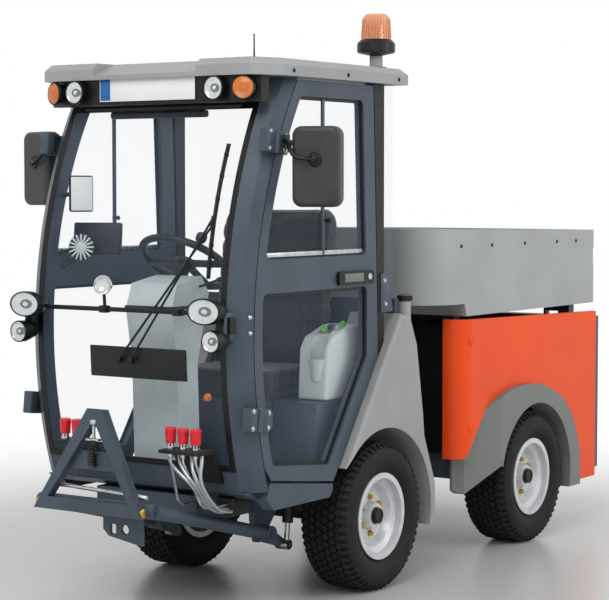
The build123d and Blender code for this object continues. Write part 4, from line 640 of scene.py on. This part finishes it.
# seat cushion and back: remeshed, blown up as cloth, then drawn in along the sewn channels
seatTable = (  # solid, fill, height stretch, channels as axis, places and depth in mm
    ("seat_cushion", 0.7, 1.0, (("Y", (-240, -120), 8), ("Z", (775, 812), 7), ("X", (-165, 165), 8))),
    ("seat_back", 0.75, 1.03, (("Z", (930, 1010, 1090, 1170, 1250, 1330), 8), ("X", (-190, 190), 8))),
)
padding = {"voxelMm": 10, "shrink": 0.97, "pressure": 4, "steps": 20, "capMm": 26, "channelMm": 12}
crown = {"depth": 0.16, "keep": 0.72, "curve": 2.4}  # the back's round top: depth in m, width kept at the top
for node, fill, stretch, channels in seatTable:
    piece = bpy.data.objects.new(node, nodes[node].data.copy())
    bpy.context.collection.objects.link(piece)
    low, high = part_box(node)
    middle = (Vector(low) + Vector(high)) / 2
    shrunk = Matrix.Translation(middle) @ Matrix.Scale(padding["shrink"], 4) @ Matrix.Translation(-middle)
    piece.data.transform(shrunk)
    foot = Vector((0, 0, low[2]))
    taller = Matrix.Translation(foot) @ Matrix.Diagonal((1, 1, stretch, 1)) @ Matrix.Translation(-foot)
    piece.data.transform(taller)
    high = Vector((high[0], high[1], low[2] + (high[2] - low[2]) * stretch))
    pick(piece)
    skin = piece.modifiers.new("skin", "REMESH")
    skin.mode = "VOXEL"
    skin.voxel_size = padding["voxelMm"] / 1000
    bpy.ops.object.modifier_apply(modifier="skin")
    if stretch > 1:
        for vertex in piece.data.vertices:
            rise = max(0, vertex.co.z - high[2] + crown["depth"]) / crown["depth"]
            vertex.co.x *= crown["keep"] + (1 - crown["keep"]) * math.sqrt(max(0, 1 - rise ** crown["curve"]))
    start = [vertex.co.copy() for vertex in piece.data.vertices]
    cloth = piece.modifiers.new("cloth", "CLOTH")
    cloth.settings.use_pressure = True
    cloth.settings.uniform_pressure_force = padding["pressure"]
    cloth.settings.effector_weights.gravity = 0
    for step in range(1, padding["steps"] + 1):
        bpy.context.scene.frame_set(step)
    bpy.ops.object.modifier_apply(modifier="cloth")
    bpy.context.scene.frame_set(1)
    for vertex, before in zip(piece.data.vertices, start):
        move = vertex.co - before
        if move.length > padding["capMm"] / 1000:
            vertex.co = before + move.normalized() * padding["capMm"] / 1000
    for axis, places, depth in channels:
        index = "XYZ".index(axis)
        for vertex in piece.data.vertices:
            local = vertex.co[index] * 1000 - (axleY if axis == "Y" else 0)
            near = min(abs(local - place) for place in places)
            draw = depth / 1000 * math.exp(-(near / padding["channelMm"]) ** 2)
            vertex.co -= vertex.normal * draw
    for vertex in piece.data.vertices:
        vertex.co = [min(max(c, a), b) for c, a, b in zip(vertex.co, low, high)]
    smooth = piece.modifiers.new("smooth", "SUBSURF")
    smooth.levels = smooth.render_levels = 1
    bpy.ops.object.modifier_apply(modifier="smooth")
    settle(piece, f"padded.{node}", "seatCloth", "front_section", 80)
    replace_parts(piece, node)
print("seats done")


def plank(profile, near, far, edge, name, finish, body, segments=2):  # outline in Y and Z, drawn across X
    mesh = bpy.data.meshes.new(name)
    mesh.from_pydata([spot(near, y, z) for y, z in profile], [], [list(range(len(profile)))])
    piece = bpy.data.objects.new(name, mesh)
    bpy.context.collection.objects.link(piece)
    pick(piece)
    bpy.ops.object.mode_set(mode="EDIT")
    bpy.ops.mesh.select_all(action="SELECT")
    bpy.ops.mesh.extrude_region_move(TRANSFORM_OT_translate={"value": ((far - near) / 1000, 0, 0)})
    bpy.ops.mesh.select_all(action="SELECT")
    bpy.ops.mesh.normals_make_consistent(inside=False)
    bpy.ops.mesh.bevel(offset=edge / 1000, segments=segments, affect="EDGES")
    bpy.ops.object.mode_set(mode="OBJECT")
    return settle(piece, name, finish, body)


def cutAway(piece, tool):  # takes one piece out of another
    pick(piece)
    cut = piece.modifiers.new("cut", "BOOLEAN")
    cut.operation = "DIFFERENCE"
    cut.solver = "EXACT"
    cut.object = tool
    bpy.ops.object.modifier_apply(modifier="cut")
    bpy.data.objects.remove(tool)


# side console: pale shell with a cup niche and two green grips, on a slate base beside the seat box
console = {"near": 290, "far": 422, "cupX": 372, "cupY": -214}
plank(((-326, 471), (-306, 740), (-120, 740), (-322, 471)), 221, 424, 4, "consoleBase", "slatePowderCoat",
      "front_section")
shell = plank(((-242, 741), (-228, 935), (-196, 978), (-72, 1017), (-6, 1018), (-14, 892), (-122, 741)),
              console["near"], console["far"], 14, "consoleShell", "paleConsole", "front_section", 4)
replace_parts(shell, "side_console")
niche = turned([(34, 880), (35, 900), (38, 1040)], 32)
niche.data.transform(Matrix.Translation(spot(console["cupX"], console["cupY"], 0)))
cutAway(shell, niche)
settle(shell, "consoleShell", "paleConsole", None)
cup = turned([(20, 812), (24, 815), (35, 890), (36, 894), (33, 895), (31, 891), (21, 818)], 36)
cupStand = Matrix.Translation(spot(console["cupX"], console["cupY"] - 8, 0))
copies(cup, [cupStand], "cupHolder", "paleConsole", "front_section")
grip = block((16, 34, 22), 5, 3)
gripTilt = Matrix.Rotation(math.radians(20), 4, "X")
stands = [Matrix.Translation(spot(*place)) @ gripTilt for place in ((352, -150, 1003), (398, -96, 1019))]
copies(grip, stands, "leverGrips", "greenGrip", "front_section")
switchPad = block((66, 96, 8), 3)
switchPad.rotation_euler = (math.radians(17.5), 0, 0)
switchPad.location = spot(367, -122, 1003)
settle(switchPad, "leverPlate", "zincPlate", "front_section")
print("console done")

# steering column: dark band round the hood's foot, stalk, wheel knob; black floor mat, also painted shade on
# the cab floor
band = block((216, 224, 14), 4)
band.location = spot(0, -664, 1104)
settle(band, "columnBand", "blackMoulding", "front_section")
stalk = tube([spot(60, -600, 1168), spot(120, -602, 1180), spot(165, -606, 1196), spot(205, -610, 1206)], 5)
settle(stalk, "columnStalk", "blackMoulding", "front_section")
stalkEnd = turned([(7, -10), (9, -6), (10, 10), (8, 16), (4, 18)], 20)
stalkStand = stood(spot(200, -610, 1205), (0.95, -0.1, 0.25))
copies(stalkEnd, [stalkStand], "stalkEnd", "blackMoulding", "front_section")
knob = turned([(9, -8), (9, 16), (17, 22), (21, 34), (20, 48), (14, 54), (6, 56)], 28)
knobAt = math.radians(-42)  # round the steering wheel's leaning rim
knobPlace = spot(172 * math.cos(knobAt), -545 + 143 * math.sin(knobAt), 1262 - 95 * math.sin(knobAt))
copies(knob, [stood(knobPlace, (0, 0.552, 0.834))], "wheelKnob", "blackMoulding", "front_section")
# floor mat: black rubber, its black also standing in for the shade on the cab floor
shadeMat = block((840, 420, 7), 3)
shadeMat.location = spot(0, -565, 473.5)
settle(shadeMat, "floorMatPaintedShade", "hoseRubber", "front_section")
print("column done")

# monitor, fan and inner mirror on stalks from the right corner post
screen = block((190, 26, 122), 6, 3)
screen.rotation_euler = (math.radians(-8), 0, math.radians(18))
screen.location = spot(-352, -632, 1346)
settle(screen, "monitor", "blackMoulding", "front_section")
arms = (("monitorStalk", ((-458, -716, 1240), (-440, -690, 1262), (-390, -655, 1290), (-360, -636, 1310))),
        ("fanStalk", ((-458, -722, 1296), (-435, -712, 1300), (-405, -706, 1310), (-372, -700, 1316))),
        ("innerMirrorStalk", ((-462, -700, 1508), (-440, -706, 1512), (-415, -704, 1516), (-388, -700, 1516))))
for name, run in arms:
    settle(tube([spot(*place) for place in run], 8), name, "blackMoulding", "front_section")
fanFacing = Vector((0.45, -0.89, 0.05)).normalized()
fanStand = stood(spot(-370, -706, 1316), fanFacing)
drum = turned([(30, -14), (46, -10), (48, 2), (44, 4), (12, 4), (5, 5)], 36)
copies(drum, [fanStand], "fanDrum", "blackMoulding", "front_section")
boss = turned([(17, 3), (17, 11), (13, 13), (5, 13.5)], 28)
copies(boss, [fanStand], "fanBoss", "paleConsole", "front_section")
vane = block((36, 6.5, 8), 1.5)
vaneCount = 16
vaneOut = Matrix.Translation((0.031, 0, 0.007))
vanes = [fanStand @ Matrix.Rotation(2 * math.pi / vaneCount * i, 4, "Z") @ vaneOut for i in range(vaneCount)]
copies(vane, vanes, "fanVanes", "paleConsole", "front_section")
mirrorTurn = Matrix.Translation(spot(-372, -704, 1516)) @ Matrix.Rotation(math.radians(56), 4, "Z")
for name, finish, size, edge, shift in (("innerMirrorShell", "blackMoulding", (92, 22, 136), 9, 0),
                                        # the inner mirror's glass is flat white: a painted reflection
                                        ("innerMirrorPaintedReflection", "plateWhite", (82, 5, 126), 2, -10.5),
                                        ("innerMirrorBoss", "blackMoulding", (46, 34, 62), 8, 24)):
    part = block(size, edge, 3)
    part.data.transform(mirrorTurn @ Matrix.Translation((0, shift / 1000, 0)))
    settle(part, name, finish, "front_section")
print("monitor done")

# cross tube ahead of the windscreen between the lamp clusters, with a small lamp; marker and roof fittings
lampTube = tube([spot(x, -906, 1104) for x in (-372, -150, 150, 372)], 8.5)
settle(lampTube, "lampTube", "blackMoulding", "front_section")
clip = block((34, 30, 26), 4)
clipStands = [Matrix.Translation(spot(x, -906, 1104)) for x in (-92, 240)]
copies(clip, clipStands, "tubeClips", "blackMoulding", "front_section")
stemRun = ((-906, 1110), (-905, 1130), (-908, 1150), (-908, 1166))  # Y and Z
settle(tube([spot(-92, y, z) for y, z in stemRun], 6), "lampStem", "blackMoulding", "front_section")
spotTurn = stood(spot(-92, -905, 1190), (0.3, -0.95, 0.05))
can = turned([(16, -16), (28, -8), (34, 12), (35, 18), (33, 20), (31, 16), (16, 4), (6, 2)], 36)
copies(can, [spotTurn], "smallLampBowl", "lampChrome", "front_section")
glass = turned([(32, 15), (31, 19), (20, 23), (8, 24.5)], 36)
copies(glass, [spotTurn], "smallLampLens", "clearLens", "front_section")
marker = turned([(14, -6), (14, 2), (12, 4), (12, 9), (8, 12), (3, 13)], 24)
point, normal = onSkin("windscreen", spot(342, -1200, 808), (0, 1, 0))
copies(marker, [stood(point, normal)], "amberMarker", "amberLens", "front_section")
visor = block((430, 44, 26), 8, 3)
visor.location = spot(-50, -640, 1806)
settle(visor, "sunBlindRoller", "blackMoulding", "front_section")
visor = block((720, 62, 20), 8, 3)
visor.location = spot(0, -664, 1829)
settle(visor, "roofConsole", "blackMoulding", "front_section")
print("lamp tube done")

# door latch brackets on the rear posts
for side, hand in sides:
    plank(((16, 1062), (16, 1212), (60, 1216), (104, 1064)), side * 496, side * 505, 2.5, f"latchPlate.{hand}",
          "slatePowderCoat", "front_section")
    boltStands = [stood(spot(side * 504.5, y, z), (side, 0, 0)) for y, z in ((34, 1185), (42, 1095))]
    copies(turned(hexHead, 6), boltStands, f"latchBolts.{hand}", "zincPlate", "front_section")

# braided hoses from the coupler shelf down to the valve block
shelfTable = ((208, 322, 396), (252, 336, 390), (308, 352, 402), (352, 364, 394))  # X at the shelf, end X and Z
for number, (x, endX, endZ) in enumerate(shelfTable):  # high over the raised lift arm, then down outside it
    run = [spot(x, -918, 613), spot(x + 6, -926, 582), spot((x + endX) / 2, -936, 545),
           spot(endX - 4, -930, 506), spot(endX, -884, 446), spot(endX, -820, endZ + 4), spot(endX, -762, endZ)]
    settle(tube(run, 6.5), f"shelfHose.{number}", "braidedHose", "front_section")
print("front hoses done")

# wiper: cover plate, two slim arms, spine, holder, rubber and clips, joined into one
wiper = {"bladeX": 356, "bladeZ": (1223, 1692), "holdZ": 1425, "feet": (-26, 28), "footZ": 925, "stand": 30,
         "spread": 0.4, "steps": 12}


def offGlass(x, z, stand):  # a place ahead of the bowed windscreen
    reach = math.sqrt((bow["glassRadius"] + stand) ** 2 - (z - bow["middleZ"]) ** 2)
    return spot(x, bow["middleY"] - reach, z)


cover = block((436, 10, 112), 4.5, 3)
cover.data.transform(Matrix.Translation(offGlass(43, 915, 5)) @ Matrix.Rotation(math.radians(3.1), 4, "X"))
wiperParts = [cover]
for footX in wiper["feet"]:
    start = offGlass(footX, wiper["footZ"], wiper["stand"])
    end = offGlass(wiper["bladeX"], wiper["holdZ"], wiper["stand"])
    end.z += (footX - wiper["feet"][1]) * wiper["spread"] / 1000
    wiperParts.append(tube((start, start.lerp(end, 0.5), end), 4.2))
    spindle = turned([(14, 0), (14, 5), (10, 8), (10, 24), (12, 25), (12, 32), (9, 35)], 28)
    spindle.data.transform(stood(offGlass(footX, wiper["footZ"], 4), (0, -1, 0.05)))
    wiperParts.append(spindle)
foot, head = wiper["bladeZ"]
heights = [foot + (head - foot) * i / wiper["steps"] for i in range(wiper["steps"] + 1)]
for stand, radius in ((20, 4.2), (13, 3.8), (7, 3)):  # spine, holder and rubber
    wiperParts.append(tube([offGlass(wiper["bladeX"], z, stand) for z in heights], radius))
for z in (1262, 1340, 1414, 1500, 1580, 1654):
    length, stand = (52, 20) if z == 1414 else (12, 14)  # the long one takes the arms
    clip = block((9, 20, length), 2)
    lean = math.asin((z - bow["middleZ"]) / bow["glassRadius"])
    clipPlace = offGlass(wiper["bladeX"], z, stand)
    clip.data.transform(Matrix.Translation(clipPlace) @ Matrix.Rotation(-lean, 4, "X"))
    wiperParts.append(clip)
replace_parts(settle(joined(wiperParts), "fineWiper", "blackSteelPaint", "front_section"), "wiper")
print("wiper done")

# door hinges: leaf on the door and block on the post, with their bolts; the mirror's bent arm and ball seat
(hingeLowY, hingeLowZ), (hingeHighY, hingeHighZ) = hingePoints
hingeLean = Matrix.Rotation(-math.atan2(hingeHighY - hingeLowY, hingeHighZ - hingeLowZ), 4, "X")
armRun = ((514, -652, 1704), (536, -662, 1702), (566, -690, 1676), (588, -698, 1645), (630, -688, 1638),
          (646, -664, 1636))
for side, hand in sides:
    hinges = [Matrix.Translation(spot(side * 516, y, z)) @ hingeLean for y, z in hingePoints]
    leaf = block((6, 56, 80), 2)
    leaf.data.transform(Matrix.Translation((side * -0.0035, 0.047, 0)))
    copies(leaf, hinges, f"hingeLeaf.{hand}", "slatePowderCoat", f"door_{hand}")
    post = block((38, 40, 82), 3)
    post.data.transform(Matrix.Translation((side * -0.011, -0.038, 0)))
    copies(post, hinges, f"hingePost.{hand}", "slatePowderCoat", "front_section")
    for name, out, along, up, body in (("hingeLeafBolts", -0.0005, 0.059, 0.026, f"door_{hand}"),
                                       ("hingePostBolts", 0.008, -0.046, 0.03, "front_section")):
        bolt = turned([(9, -1), (9, 1.5), (6.5, 1.6), (6.5, 4.5), (4.5, 6)], 18)
        places = [turn @ Matrix.Translation((side * out, along, rise)) @ stood((0, 0, 0), (side, 0, 0))
                  for turn in hinges for rise in (-up, up)]
        copies(bolt, places, f"{name}.{hand}", "zincPlate", body)
    arm = tube([spot(side * x, y, z) for x, y, z in armRun], 7.5)
    settle(arm, f"mirrorArm.{hand}", "blackMoulding", f"door_{hand}")
    seat = turned([(26, -6), (26, 3), (22, 7), (13, 8), (11, 16), (5, 19)], 28)
    seatPlace, seatNormal = onSkin(f"mirror_{hand}", spot(side * 648, -760, 1636), (0, 1, 0))
    copies(seat, [stood(seatPlace, seatNormal)], f"mirrorBall.{hand}", "blackMoulding", f"door_{hand}")
print("hinge leaves and mirror arms done")

# beacon: grey stem sleeve, reflector inside, ribs down the dome, band round the collar
beaconStand = stood(spot(420, 110, 1993))
ribCount = 28
sleeve = turned([(25.4, 9), (25.4, 48), (24.2, 50)], 36)
copies(sleeve, [beaconStand], "beaconSleeve", "greyMoulding", "front_section")
core = turned([(36, 116), (36, 168), (22, 184), (8, 188)], 32)
copies(core, [beaconStand], "beaconReflector", "lampChrome", "front_section")
rib = block((3, 3.4, 72), 1)
rib.data.transform(Matrix.Translation((0.0548, 0, 0.155)) @ Matrix.Rotation(math.radians(-3.5), 4, "Y"))
ribTurns = [beaconStand @ Matrix.Rotation(2 * math.pi / ribCount * i, 4, "Z") for i in range(ribCount)]
copies(rib, ribTurns, "beaconRibs", "amberLens", "front_section")
band = turned([(73.5, 66), (73.5, 72), (73.5, 90), (73, 96)], 48)
copies(band, [beaconStand], "beaconBand", "blackMoulding", "front_section")
print("beacon done")

# floor, light and camera
# the floor colour is grey as painted shade around the vehicle
studio = {"floor": "#c4c4c4", "keyPower": 200, "fillPower": 130, "worldLight": 0.58}
deselectAll()
bpy.ops.mesh.primitive_plane_add(size=60, location=(0, 0, 0))
floor = bpy.context.object
floor.name = "studioFloor"
material, tree, shader = newMaterial("paleStudioFloor")  # pale, faintly glossy, whiter with distance
coords = addNode(tree, "ShaderNodeTexCoord", {})
reach = addNode(tree, "ShaderNodeVectorMath", {"operation": "LENGTH"}, {0: (coords, "Object")})
# painted shade: the floor is grey near the vehicle and fades to white with distance
shadeFade = addNode(tree, "ShaderNodeMapRange", {"From Min": 1.6, "From Max": 3.6}, {"Value": (reach, "Value")})
solid = addNode(tree, "ShaderNodeMapRange", {"From Min": 2.0, "From Max": 4.2, "To Min": 1.0, "To Max": 0.0},
                {"Value": (reach, "Value")})
ramp = addNode(tree, "ShaderNodeValToRGB", {}, {"Fac": (shadeFade, "Result")})
ramp.color_ramp.elements[0].color = linear(studio["floor"])
ramp.color_ramp.elements[1].color = linear("#ffffff")
tree.links.new(ramp.outputs["Color"], shader.inputs["Base Color"])
tree.links.new(solid.outputs["Result"], shader.inputs["Alpha"])
shader.inputs["Roughness"].default_value = 0.3
floor.data.materials.append(material)

world = bpy.data.worlds.new("softWhite")
bpy.context.scene.world = world
world.use_nodes = True
tree = world.node_tree
rays = addNode(tree, "ShaderNodeLightPath", {})
seen = addNode(tree, "ShaderNodeMath", {"operation": "MAXIMUM"},
               {0: (rays, "Is Camera Ray"), 1: (rays, "Is Glossy Ray")})
seen = addNode(tree, "ShaderNodeMath", {"operation": "MAXIMUM"},
               {0: (seen, "Value"), 1: (rays, "Is Transmission Ray")})
strength = addNode(tree, "ShaderNodeMapRange", {"To Min": studio["worldLight"], "To Max": 1.0},
                   {"Value": (seen, "Value")})
background = tree.nodes["Background"]
background.inputs["Color"].default_value = (1, 1, 1, 1)
tree.links.new(strength.outputs["Result"], background.inputs["Strength"])

lamps = (
    {"name": "keyLight", "place": (1.5, -5.0, 5.5), "aim": (0, 0, 0.9), "size": 4.0,
     "power": studio["keyPower"]},
    {"name": "fillLight", "place": (6.0, 1.0, 3.5), "aim": (0, 0, 0.8), "size": 4.0,
     "power": studio["fillPower"]},
)
for lamp in lamps:
    bpy.ops.object.light_add(type="AREA", location=lamp["place"])
    light = bpy.context.object
    light.name = lamp["name"]
    light.data.size = lamp["size"]
    light.data.energy = lamp["power"]
    light.rotation_euler = (Vector(lamp["aim"]) - Vector(lamp["place"])).to_track_quat("-Z", "Y").to_euler()

photoView = {"place": (4.3958, -6.6688, 1.5393), "aim": (-0.55888, 0.82723, -0.05786), "lens": 114.77}
bpy.ops.object.camera_add(location=photoView["place"])
camera = bpy.context.object
camera.rotation_euler = Vector(photoView["aim"]).to_track_quat("-Z", "Y").to_euler()
camera.data.lens = photoView["lens"]
camera.data.sensor_width = 36
bpy.context.scene.camera = camera
bpy.context.scene.view_settings.view_transform = "Standard"
print("stage set")
